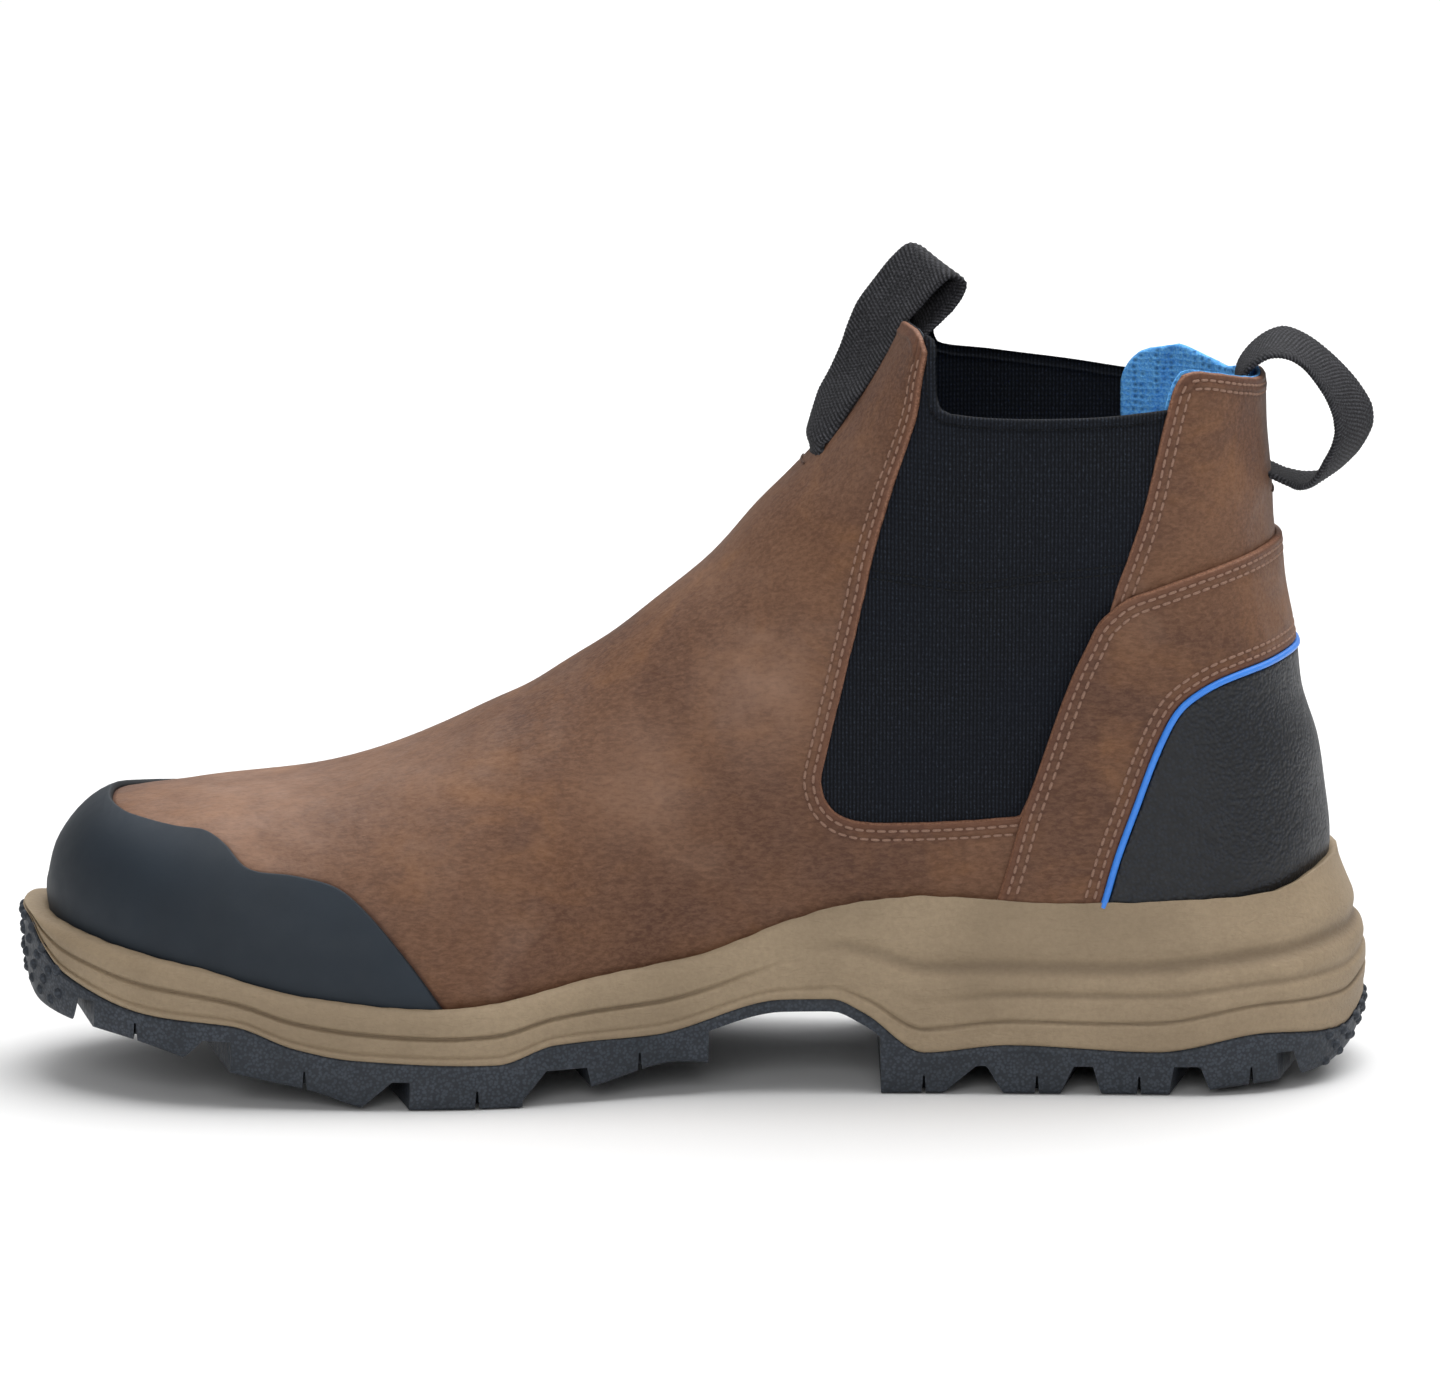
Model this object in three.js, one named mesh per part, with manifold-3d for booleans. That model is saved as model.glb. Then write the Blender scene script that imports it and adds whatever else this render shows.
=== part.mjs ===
// Side gore work boot: one right boot, in millimetres.
// The toe points to -X, the medial side to -Y, and the floor is z = 0.
import * as THREE from "three";
import { mergeVertices } from "three/addons/utils/BufferGeometryUtils.js";
import Module from "manifold-3d";

const wasm = await Module();
wasm.setup();

// Driving sizes of the whole boot
const length = 308; // outsole, toe to heel
const ballWidth = 102; // upper across the ball of the foot
const shaftWidth = 84; // upper across the collar
const heelHeight = 45; // floor to the top of the sole at the heel
const instepHeight = 115; // floor to the instep
const collarHeight = 172.5; // floor to the front of the collar

// Thicknesses
const wall = 2.2; // leather of the upper with its lining
const overlay = 1.5; // toe cap, counter and surround
const elastic = 1.4; // gore
const bedding = 4.5; // insole
const archBand = 2.7; // outsole under the arch
const webbingThick = 1.6; // pull loops

// Fits
const clearance = 0.3; // between pieces that touch
const goreInset = 0.5; // gore's face behind the leather's face
const pipingWidth = 1.3; // piping seen from the side
const pipingProud = 0.6; // piping above the overlays
const loopWidth = 21; // webbing across
const treadDepth = 6.5; // channels between the lugs
const centreChannel = 6; // channel along the middle of the tread

// How the last rounds off, as radii of its plan
const toeRound = 46;
const heelRound = 34;
const shaftRound = 41;
const roundness = 2.2; // 2 is an ellipse, more is squarer

// Fineness of the faceted surfaces
const stepsPerRow = [2, 2, 2, 2, 2, 3, 3, 3, 2, 2, 2, 2, 2, 2];
const pointsPerSide = 10;
const outlineSteps = 30; // along each side of the sole

// Rows of numbers as objects with named columns.
function table(columns, rows) {
  return rows.map((row) => Object.fromEntries(columns.map((name, i) => [name, row[i]])));
}

// In every table x is a share of the length from the toe, and a height is a level:
// 0 the floor, 1 the top of the sole at the heel, 2 the instep, 3 the front of the collar.
const levels = [0, heelHeight, instepHeight, collarHeight];

function height(level) {
  const k = THREE.MathUtils.clamp(Math.floor(level), 0, 2);
  return levels[k] + (levels[k + 1] - levels[k]) * (level - k);
}

function levelOf(z) {
  const k = z < heelHeight ? 0 : z < instepHeight ? 1 : 2;
  return k + (z - levels[k]) / (levels[k + 1] - levels[k]);
}

// Side view of the last as a fan of section lines, each from its top to its foot or back.
// crown is how far down the line the top rounds off, as a share of the ball width.
const fan = table(["topX", "top", "footX", "foot", "crown", "fullness"], [
  [0.0237, 0.956, 0.0237, 0.911, 0.06, 2.3], // nose
  [0.0321, 1.104, 0.0325, 0.767, 0.12, 2.3], // tip
  [0.0601, 1.233, 0.0568, 0.678, 0.2, 2.4], // toe
  [0.1282, 1.286, 0.1282, 0.533, 0.29, 2.4], // toe cap
  [0.2289, 1.341, 0.2224, 0.389, 0.42, 2.3], // toes
  [0.3166, 1.474, 0.3166, 0.322, 0.52, 2.2], // ball
  [0.414, 1.703, 0.4302, 0.389, 0.58, 2.1], // waist
  [0.5016, 2.0, 0.5828, 0.6, 0.6, 2.1], // instep
  [0.5438, 2.243, 0.7614, 0.733, 0.58, 2.1], // throat
  [0.5682, 2.37, 0.9075, 0.789, 0.52, 2.1], // ankle
  [0.5877, 2.478, 0.9568, 0.956, 0.46, 2.1], // heel
  [0.6104, 2.626, 0.9614, 1.243, 0.38, 2.2], // counter
  [0.6299, 2.791, 0.9386, 1.757, 0.31, 2.3], // gore
  [0.6445, 2.93, 0.925, 2.348, 0.25, 2.4], // collar
  [0.6607, 3.148, 0.9192, 3.043, 0.22, 2.4], // above the collar
]);
const heelRow = 10;

// Back outline of the last, from its foot up.
const back = table(["level", "x"], [
  [0.8, 0.9432],
  [0.956, 0.9568],
  [1.1, 0.9646],
  [1.286, 0.9601],
  [1.414, 0.9558],
  [1.614, 0.9422],
  [1.757, 0.9386],
  [2.0, 0.9289],
  [2.348, 0.925],
  [2.626, 0.9205],
  [3.15, 0.9192],
]);

// Half widths of the last in plan, and how far its middle leans to the lateral side.
// All are shares of half the ball width.
const plan = table(["x", "medial", "lateral", "lean"], [
  [0.0244, 0.72, 0.7, -0.13],
  [0.1282, 0.86, 0.82, -0.11],
  [0.2256, 0.95, 0.95, -0.08],
  [0.3166, 1.0, 1.0, -0.04],
  [0.3718, 0.97, 1.01, -0.02],
  [0.4302, 0.86, 0.98, 0],
  [0.5016, 0.74, 0.9, 0],
  [0.5828, 0.68, 0.8, 0],
  [0.664, 0.67, 0.73, 0],
  [0.7614, 0.68, 0.7, 0],
  [0.8588, 0.69, 0.69, 0],
  [0.9627, 0.69, 0.69, 0],
]);

// Side lines of the sole: the midsole's top edge, its joint with the outsole, and the tread.
const topEdge = table(["x", "level"], [
  [0.0, 0.87],
  [0.0373, 0.822],
  [0.0828, 0.76],
  [0.1347, 0.702],
  [0.2159, 0.564],
  [0.3133, 0.504],
  [0.4282, 0.633],
  [0.5016, 0.716],
  [0.5763, 0.898],
  [0.6136, 0.962],
  [0.6656, 1.0],
  [0.7695, 0.964],
  [0.8734, 0.987],
  [0.9253, 1.006],
  [0.9711, 1.067],
  [1.0, 1.08],
]);
const joint = table(["x", "level"], [
  [0.0, 0.846],
  [0.0065, 0.831],
  [0.0188, 0.702],
  [0.0354, 0.593],
  [0.099, 0.451],
  [0.1607, 0.42],
  [0.2078, 0.307],
  [0.25, 0.253],
  [0.3539, 0.222],
  [0.3977, 0.309],
  [0.4675, 0.324],
  [0.5633, 0.482],
  [0.599, 0.484],
  [0.6234, 0.411],
  [0.6672, 0.211],
  [0.7289, 0.251],
  [0.836, 0.22],
  [0.9172, 0.307],
  [0.9756, 0.273],
  [1.0, 0.38],
]);
const tread = table(["x", "level"], [
  [0.0, 0.467],
  [0.0146, 0.391],
  [0.0893, 0.309],
  [0.1607, 0.178],
  [0.2159, 0.098],
  [0.2679, 0],
  [0.3782, 0],
  [0.4269, 0.082],
  [0.4854, 0.176],
  [0.638, 0],
  [0.8523, 0],
  [0.888, 0.031],
  [0.9594, 0.076],
  [0.9821, 0.142],
  [1.0, 0.289],
]);

// How far the sole stands out past the last in plan, as a share of the heel height.
const flare = table(["x", "out"], [
  [0.0, 0.174],
  [0.0795, 0.122],
  [0.1769, 0.1],
  [0.3166, 0.089],
  [0.5016, 0.089],
  [0.6315, 0.115],
  [0.8263, 0.135],
  [0.94, 0.205],
  [0.99, 0.257],
]);

// Side of the midsole from the joint up: share of its height, and depth as a share of the flare.
// The forefoot has one groove, and the heel has ledges and a deep trough.
const midsoleSide = table(["fore", "foreDepth", "heel", "heelDepth"], [
  [0, 0.1, 0, 0.09],
  [0.08, 0, 0.05, 0],
  [0.3, 0, 0.17, 0],
  [0.43, 0.05, 0.2, 0.1],
  [0.46, 0.28, 0.23, 0.03],
  [0.5, 0.28, 0.36, 0.02],
  [0.53, 0.08, 0.39, 0.08],
  [0.62, 0.06, 0.48, 0.05],
  [0.78, 0.2, 0.57, 0.33],
  [0.88, 0.34, 0.7, 0.37],
  [0.95, 0.46, 0.87, 0.5],
  [1, 0.6, 1, 0.64],
]);

// Side of the outsole from the tread up.
const outsoleSide = table(["fore", "foreDepth", "heel", "heelDepth"], [
  [0, 0.3, 0, 0.26],
  [0.3, 0.06, 0.35, 0.04],
  [0.85, 0, 0.85, 0],
  [1, 0.1, 1, 0.09],
]);
const weltLevel = 1.05; // level of the last whose plan the sole follows
const foreEnd = 0.5; // where the forefoot's side begins to turn into the heel's
const heelStart = 0.66; // where it has done so

// Channels across the tread as they cut the sole's edge. Their top is in shares of the length,
// and the facets that widen them below are in shares of the heel height.
const channels = table(["front", "back", "frontFacet", "backFacet", "turn"], [
  [0.0455, 0.0552, 0.02, 0, 12],
  [0.1403, 0.1597, 0.127, 0, 14],
  [0.2782, 0.2909, 0.162, 0, 12],
  [0.3896, 0.4208, 0.122, 0.036, 10],
  [0.7055, 0.713, 0.171, 0.082, -8],
  [0.7769, 0.7909, 0.071, 0.04, -10],
  [0.8503, 0.8695, 0.027, 0.051, -12],
  [0.9295, 0.9399, 0, 0.031, -14],
]);
const channelsMeet = 1; // how far those of the two sides run past the middle
const archFrom = 0.503; // arch of the outsole, between the forefoot and the heel
const archTo = 0.641;
const archSlope = 0.006; // how far its two ends lean

// Edges of the upper's panels in side view
const collar = table(["x", "level"], [
  [-0.2, 3.0],
  [0.646, 3.0],
  [0.666, 3.017],
  [0.67, 2.9],
  [0.84, 2.83],
  [0.862, 2.861],
  [0.88, 2.847],
  [0.905, 2.802],
  [0.92, 2.774],
  [1.2, 2.77],
]);
const toeCapRim = table(["x", "level"], [
  [0.0656, 1.5],
  [0.0656, 1.26],
  [0.076, 1.235],
  [0.1, 1.217],
  [0.1205, 1.207],
  [0.142, 1.201],
  [0.1558, 1.17],
  [0.1724, 1.107],
  [0.2078, 1.086],
  [0.239, 1.053],
  [0.2591, 0.98],
  [0.2873, 0.762],
  [0.311, 0.54],
  [0.325, 0.38],
]);
const goreFront = table(["x", "level"], [
  [0.67, 3.2],
  [0.6653, 2.93],
  [0.6617, 2.835],
  [0.6575, 2.677],
  [0.6448, 2.47],
  [0.6286, 2.157],
  [0.6195, 1.936],
  [0.6062, 1.679],
  [0.5945, 1.45],
  [0.5912, 1.371],
  [0.5945, 1.307],
  [0.604, 1.26],
  [0.6217, 1.236],
  [0.6932, 1.239],
  [0.737, 1.254],
]);
const goreTop = table(["x", "level"], [
  [0.6, 2.733],
  [0.6607, 2.73],
  [0.6867, 2.703],
  [0.7256, 2.689],
  [0.7841, 2.692],
  [0.8474, 2.717],
  [0.9, 2.73],
]);
const quarterFront = table(["x", "level"], [
  [0.8019, 1.944],
  [0.8065, 2.017],
  [0.8192, 2.209],
  [0.8273, 2.348],
  [0.8399, 2.626],
  [0.849, 2.8],
  [0.862, 2.92],
  [0.868, 3.2],
]);
const surroundEdge = table(["x", "level"], [
  [1.1, 2.15],
  [0.9289, 2.137],
  [0.9058, 2.12],
  [0.8805, 2.09],
  [0.861, 2.063],
  [0.8341, 2.019],
  [0.8133, 1.983],
  [0.8019, 1.944],
  [0.7929, 1.903],
  [0.7847, 1.827],
  [0.776, 1.744],
  [0.7656, 1.621],
  [0.7487, 1.393],
  [0.7383, 1.256],
  [0.7263, 1.064],
  [0.717, 0.9],
  [0.71, 0.75],
]);
const pipingLine = table(["x", "level"], [
  [1.1, 1.76],
  [0.9445, 1.749],
  [0.9292, 1.746],
  [0.9123, 1.734],
  [0.8951, 1.719],
  [0.8782, 1.696],
  [0.8643, 1.663],
  [0.8542, 1.627],
  [0.8474, 1.584],
  [0.8354, 1.461],
  [0.8221, 1.293],
  [0.8084, 1.12],
  [0.799, 0.96],
  [0.791, 0.8],
]);

// Pull loops: the path of the webbing's middle. turn swings its near edge back, dip lowers it.
const frontLoop = table(["x", "level", "turn", "dip"], [
  [0.588, 2.567, 12, 0],
  [0.595, 2.633, 17, 0],
  [0.6055, 2.704, 19, 3],
  [0.6205, 2.847, 20, 5],
  [0.6265, 2.939, 20, 8],
  [0.632, 3.016, 20, 14],
  [0.639, 3.09, 18, 22],
  [0.649, 3.145, 12, 29],
  [0.663, 3.175, 5, 32],
  [0.6782, 3.16, 5, 20],
  [0.693, 3.11, 3, 10],
  [0.697, 3.055, 2, 6],
  [0.686, 3.0, 0, 3],
]);
const frontOuterLevels = [2.36, 2.45]; // where it lies on the leather
const frontInnerLevels = [2.88, 2.74]; // where it lies inside the collar
const backLoop = table(["x", "level", "turn", "dip"], [
  [0.936, 2.345, 0, 0],
  [0.9474, 2.329, -4, 0],
  [0.9623, 2.344, -8, 0],
  [0.9808, 2.437, -10, 0],
  [0.994, 2.557, -8, 4],
  [0.996, 2.638, -4, 6],
  [0.9883, 2.76, 0, 6],
  [0.9698, 2.861, 0, 4],
  [0.9474, 2.922, 0, 0],
  [0.9289, 2.915, 0, 0],
  [0.909, 2.845, 0, 0],
]);
const backOuterLevels = [2.5, 2.4];
const backInnerLevels = [2.76, 2.62];

// A smooth function through two columns of a table, with no overshoot.
function through(rows, inName, outName) {
  const xs = rows.map((row) => row[inName]);
  const ys = rows.map((row) => row[outName]);
  const last = xs.length - 1;
  const secants = xs.slice(1).map((x, i) => (ys[i + 1] - ys[i]) / (x - xs[i]));
  const slopes = xs.map((_, i) => {
    const before = secants[Math.max(i - 1, 0)];
    const after = secants[Math.min(i, last - 1)];
    return before * after <= 0 ? 0 : (2 * before * after) / (before + after);
  });
  return (value) => {
    const at = THREE.MathUtils.clamp(value, xs[0], xs[last]);
    const i = Math.min(xs.findLastIndex((x) => x <= at), last - 1);
    const span = xs[i + 1] - xs[i];
    const t = (at - xs[i]) / span;
    const rise = (3 - 2 * t) * t * t;
    const bend = t * (1 - t) * span;
    return (
      ys[i] * (1 - rise) + ys[i + 1] * rise + bend * ((1 - t) * slopes[i] - t * slopes[i + 1])
    );
  };
}

const backShare = through(back, "level", "x");
const halfPlan = {
  medial: through(plan, "x", "medial"),
  lateral: through(plan, "x", "lateral"),
};
const leanShare = through(plan, "x", "lean");
const topEdgeLevel = through(topEdge, "x", "level");
const jointLevel = through(joint, "x", "level");
const treadLevel = through(tread, "x", "level");
const flareShare = through(flare, "x", "out");

const backX = (z) => length * backShare(levelOf(z));
const topEdgeZ = (x) => height(topEdgeLevel(x / length));
const jointZ = (x) => height(jointLevel(x / length));
const treadZ = (x) => height(treadLevel(x / length));
const lean = (x) => (ballWidth / 2) * leanShare(x / length);

// Rises from 0 to 1 as q does, steeply at first and level at the end.
function dome(q, power) {
  const rest = 1 - THREE.MathUtils.clamp(q, 0, 1);
  return (1 - rest ** power) ** (1 / power);
}

// Half width of the last at a place in side view, before its top rounds off.
const toeEnd = length * plan[0].x - 0.3;

function breadth(x, z, side) {
  const t = THREE.MathUtils.smoothstep(z, height(1.2), height(2.4));
  const foot = (ballWidth / 2) * halfPlan[side](x / length);
  const full = THREE.MathUtils.lerp(foot, shaftWidth / 2, t);
  const atBack = dome((backX(z) - x) / THREE.MathUtils.lerp(heelRound, shaftRound, t), roundness);
  return full * atBack * dome((x - toeEnd) / toeRound, roundness);
}

// Section lines of the fan, with the steps between its rows filled in.
function sideCurve(rows, xName, levelName) {
  const points = rows.map((row) => new THREE.Vector3(length * row[xName], 0, height(row[levelName])));
  return new THREE.CatmullRomCurve3(points, false, "centripetal");
}

const topCurve = sideCurve(fan, "topX", "top");
const footCurve = sideCurve(fan, "footX", "foot");

function sectionLine(row, share) {
  const next = Math.min(row + 1, fan.length - 1);
  const at = (row + share) / (fan.length - 1);
  const top = topCurve.getPoint(at);
  const foot = footCurve.getPoint(at);
  if (row + share > heelRow) foot.x = backX(foot.z);
  return {
    top,
    foot,
    crown: ballWidth * THREE.MathUtils.lerp(fan[row].crown, fan[next].crown, share),
    fullness: THREE.MathUtils.lerp(fan[row].fullness, fan[next].fullness, share),
  };
}

const sections = stepsPerRow.flatMap((steps, row) =>
  Array.from({ length: steps }, (_, k) => sectionLine(row, k / steps)),
);
sections.push(sectionLine(fan.length - 1, 0));

// The foot of the last tucks in over its lowest part.
const tuck = 0.12;
const tuckHeight = 12;

function lastPoint(section, share, side) {
  const run = section.top.distanceTo(section.foot);
  const point = section.top.clone().lerp(section.foot, share);
  const rounding = dome((run * share) / section.crown, section.fullness);
  const low = 1 - Math.min((run * (1 - share)) / tuckHeight, 1);
  const half = breadth(point.x, point.z, side) * rounding * (1 - tuck * low * low);
  point.y = lean(point.x) + (side === "medial" ? -half : half);
  return point;
}

// A closed solid from a geometry.
function solid(geometry) {
  geometry.deleteAttribute("normal");
  geometry.deleteAttribute("uv");
  const merged = mergeVertices(geometry, 1e-4);
  return new wasm.Manifold(
    new wasm.Mesh({
      numProp: 3,
      vertProperties: new Float32Array(merged.attributes.position.array),
      triVerts: new Uint32Array(merged.index.array),
    }),
  );
}

function indexed(points, faces) {
  const geometry = new THREE.BufferGeometry().setFromPoints(points);
  geometry.setIndex(faces.flat());
  return geometry;
}

// The last's closed form, grown outwards by an offset, or shrunk by a negative one.
// A shrunk form reaches down past the foot, so that it opens what it is cut from.
const footReach = 7;

function form(offset) {
  const around = 2 * pointsPerSide + 1;
  const shares = Array.from({ length: pointsPerSide + 1 }, (_, j) => {
    return (1 - Math.cos((Math.PI * j) / pointsPerSide)) / 2;
  });
  const points = sections.flatMap((section) => {
    const medial = shares.map((share) => lastPoint(section, share, "medial"));
    const lateral = shares.map((share) => lastPoint(section, share, "lateral"));
    return [...medial, ...lateral.slice(1).reverse()];
  });
  const faces = [];
  for (let i = 0; i + 1 < sections.length; i++) {
    for (let k = 0; k < around; k++) {
      const a = i * around + k;
      const b = i * around + ((k + 1) % around);
      faces.push([a, b, a + around], [b, b + around, a + around]);
    }
  }
  const end = (sections.length - 1) * around;
  for (let k = 1; k + 1 < around; k++) {
    faces.push([0, k + 1, k], [end, end + k, end + k + 1]);
  }
  const geometry = indexed(points, faces);
  geometry.computeVertexNormals();
  const normals = points.map((_, i) => {
    return new THREE.Vector3().fromBufferAttribute(geometry.attributes.normal, i);
  });
  sections.forEach((section, i) => {
    const before = sections[Math.max(i - 1, 0)].foot;
    const after = sections[Math.min(i + 1, sections.length - 1)].foot;
    const sole = new THREE.Vector3(after.z - before.z, 0, before.x - after.x).normalize();
    for (const k of [pointsPerSide, pointsPerSide + 1]) {
      const beside = k === pointsPerSide ? k - 1 : k + 1;
      const flank = normals[i * around + beside];
      const mitre = flank.clone().add(sole).divideScalar(1 + flank.dot(sole));
      normals[i * around + k] = mitre;
      if (offset < 0) points[i * around + k].z -= footReach * Math.max(0, -sole.z);
    }
  });
  const grown = points.map((point, i) => point.clone().addScaledVector(normals[i], offset));
  return solid(indexed(grown, faces));
}

// A side view outline as points, and the solid that it sweeps across the boot.
function edge(rows) {
  return rows.map((row) => [length * row.x, height(row.level)]);
}

function prism(outline, from, to) {
  const shape = new THREE.Shape(outline.map(([x, z]) => new THREE.Vector2(x, z)));
  const geometry = new THREE.ExtrudeGeometry(shape, { depth: to - from, bevelEnabled: false });
  geometry.rotateX(Math.PI / 2);
  geometry.translate(0, to, 0);
  return solid(geometry);
}

const reach = ballWidth; // past the boot on each side
const across = (outline) => prism(outline, -reach, reach);

// Points moved sideways: to the right of their direction by a positive distance.
function shifted(points, distance) {
  return points.map(([x, z], i) => {
    const [x0, z0] = points[Math.max(i - 1, 0)];
    const [x1, z1] = points[Math.min(i + 1, points.length - 1)];
    const run = Math.hypot(x1 - x0, z1 - z0);
    return [x + ((z1 - z0) / run) * distance, z - ((x1 - x0) / run) * distance];
  });
}

// The region above a line that runs along the boot.
function above(lineZ, lift) {
  const steps = 90;
  const line = Array.from({ length: steps + 1 }, (_, i) => {
    const x = length * (-0.05 + (1.1 * i) / steps);
    return [x, lineZ(x) + lift];
  });
  const roof = 2 * collarHeight;
  return across([...line, [length * 1.05, roof], [-0.05 * length, roof]]);
}

// Upper
const outer = form(0);
const lining = form(-wall);
const nearOverlay = form(clearance);
const farOverlay = form(clearance + overlay);

const windowOutline = [...edge(goreFront), ...edge(quarterFront)];
const gorePanel = shifted(windowOutline, -clearance);
const sides = { medial: [-reach, 0], lateral: [0, reach] };

const collarLine = edge(collar);
const belowCollar = across([...collarLine, [length * 1.2, -reach], [-0.2 * length, -reach]]);
let upper = outer.subtract(lining).intersect(belowCollar);
for (const [from, to] of Object.values(sides)) {
  upper = upper.subtract(prism(windowOutline, from, to));
}

// Gores
const goreFace = form(-goreInset);
const goreBack = form(-goreInset - elastic);
const goreTopLine = edge(goreTop);
const belowGoreTop = across([
  ...goreTopLine,
  [goreTopLine.at(-1)[0], -reach],
  [goreTopLine[0][0], -reach],
]);
const gores = goreFace.subtract(goreBack).intersect(belowGoreTop);
const goreOf = (side) => gores.intersect(prism(gorePanel, ...sides[side]));

// Overlays: each is cut from the sheet between two forms that lie outside the upper.
const sheet = farOverlay.subtract(nearOverlay).intersect(above(topEdgeZ, clearance * 1.6));
const rim = edge(toeCapRim);
const toeCap = sheet.intersect(
  across([...rim, [rim.at(-1)[0], -reach], [-0.2 * length, -reach], [-0.2 * length, rim[0][1]]]),
);
const piped = edge(pipingLine);
const behind = [
  [length * 1.1, -reach],
  [piped.at(-1)[0], -reach],
];
const halfPiping = pipingWidth / 2;
const beforePiping = shifted(piped, halfPiping + clearance);
const surround = sheet.intersect(across([...edge(surroundEdge), ...beforePiping.toReversed()]));
const afterPiping = shifted(piped, -halfPiping - clearance);
const counter = sheet.intersect(across([...afterPiping, behind[1], behind[0]]));
const pipingBand = [...shifted(piped, halfPiping), ...shifted(piped, -halfPiping).toReversed()];
const piping = form(clearance + overlay + pipingProud)
  .subtract(nearOverlay)
  .intersect(above(topEdgeZ, clearance * 1.6))
  .intersect(across(pipingBand));

// The last's plan at the top of the sole: the toe's tip, then the medial side to the
// heel's back, then the lateral side to the toe again, each point with its way out.
function welt() {
  const heelEnd = backX(height(weltLevel));
  const shares = Array.from({ length: outlineSteps + 1 }, (_, i) => {
    return (1 - Math.cos((Math.PI * i) / outlineSteps)) / 2;
  });
  const place = (share, side) => {
    const x = THREE.MathUtils.lerp(toeEnd, heelEnd, share);
    const half = share === 0 || share === 1 ? 0 : breadth(x, height(weltLevel), side);
    return new THREE.Vector2(x, lean(x) + (side === "medial" ? -half : half));
  };
  const medial = shares.map((share) => place(share, "medial"));
  const lateral = shares.slice(1, -1).map((share) => place(share, "lateral"));
  const points = [...medial, ...lateral.reverse()];
  const count = points.length;
  return points.map((point, i) => {
    const along = points[(i + 1) % count].clone().sub(points[(i + count - 1) % count]).normalize();
    return { point, out: new THREE.Vector2(along.y, -along.x) };
  });
}

// A solid layer of the sole between two heights, with the side that a table gives.
const weltLine = welt();

function layer(sideRows, lowZ, highZ) {
  const count = weltLine.length;
  const points = sideRows.flatMap((row) =>
    weltLine.map(({ point, out }) => {
      const t = THREE.MathUtils.smoothstep(point.x / length, foreEnd, heelStart);
      const share = THREE.MathUtils.lerp(row.fore, row.heel, t);
      const depth = THREE.MathUtils.lerp(row.foreDepth, row.heelDepth, t);
      const reachOut = heelHeight * flareShare(point.x / length) * (1 - depth);
      const at = point.clone().addScaledVector(out, reachOut);
      const z = THREE.MathUtils.lerp(lowZ(at.x), highZ(at.x), share);
      return new THREE.Vector3(at.x, at.y, z);
    }),
  );
  const faces = [];
  for (let row = 0; row + 1 < sideRows.length; row++) {
    for (let i = 0; i < count; i++) {
      const a = row * count + i;
      const b = row * count + ((i + 1) % count);
      faces.push([a, b, b + count], [a, b + count, a + count]);
    }
  }
  const top = (sideRows.length - 1) * count;
  for (let i = 0; i < outlineSteps; i++) {
    const [a, b] = [i, i + 1];
    const [c, d] = [(count - i - 1) % count, (count - i) % count];
    if (i + 1 < outlineSteps) {
      faces.push([a, c, b], [top + a, top + b, top + c]);
    }
    if (i > 0) {
      faces.push([a, d, c], [top + a, top + c, top + d]);
    }
  }
  return solid(indexed(points, faces));
}

// Midsole, with the bed that the upper and the insole stand in
const midsole = layer(midsoleSide, jointZ, topEdgeZ).subtract(nearOverlay);

// Insole, on the bed inside the upper
const footLine = sections
  .filter((_, i) => i > 0)
  .map(({ foot }) => [foot.x, foot.z])
  .filter(([x], i, all) => i === 0 || x > all[i - 1][0]);
const insoleOutline = [...footLine, ...footLine.map(([x, z]) => [x, z + bedding]).reverse()];
const insole = form(-wall - clearance).intersect(across(insoleOutline));

// Outsole: a solid layer, less the arch and the channels between the lugs
const underJoint = (x) => jointZ(x) - clearance;
const archLine = Array.from({ length: 9 }, (_, i) => {
  const x = length * THREE.MathUtils.lerp(archFrom + archSlope, archTo - archSlope, i / 8);
  return [x, underJoint(x) - archBand];
});
const archCut = across([
  [length * archFrom, -reach],
  ...archLine,
  [length * archTo, -reach],
]);

// Half width of the sole on one side
function soleHalf(x, side) {
  const flare = heelHeight * flareShare(x / length);
  const half = breadth(x, height(weltLevel), side > 0 ? "lateral" : "medial");
  return side * lean(x) + half + flare;
}

function channelTop(x) {
  return Math.min(treadZ(x) + treadDepth, underJoint(x) - archBand);
}

// One side's half of a channel, turned about the place where it cuts the sole's edge
function channelCut(row, side) {
  const front = length * row.front;
  const back = length * row.back;
  const middle = (front + back) / 2;
  const edge = soleHalf(middle, side);
  const inner = edge / Math.cos(THREE.MathUtils.degToRad(row.turn)) + channelsMeet;
  const wideFront = front - heelHeight * row.frontFacet;
  const wideBack = back + heelHeight * row.backFacet;
  const outline = [
    [wideFront, -reach],
    [wideBack, -reach],
    [wideBack, treadZ(middle)],
    [back, channelTop(middle)],
    [front, channelTop(middle)],
    [wideFront, treadZ(middle)],
  ].map(([x, z]) => [x - middle, z]);
  const [from, to] = side > 0 ? [-inner, reach] : [-reach, inner];
  return prism(outline, from, to)
    .rotate([0, 0, -side * row.turn])
    .translate([middle, side * edge, 0]);
}

function groove(from, to) {
  const line = Array.from({ length: 13 }, (_, i) => {
    const x = length * THREE.MathUtils.lerp(from, to, i / 12);
    return [x, channelTop(x)];
  });
  const outline = [[line[0][0], -reach], ...line, [line.at(-1)[0], -reach]];
  return prism(outline, -centreChannel / 2, centreChannel / 2);
}

let outsole = layer(outsoleSide, treadZ, underJoint).subtract(archCut);
for (const row of channels) {
  outsole = outsole.subtract(channelCut(row, -1)).subtract(channelCut(row, 1));
}
outsole = outsole.subtract(groove(0.12, archFrom)).subtract(groove(archTo, 0.96));

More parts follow.
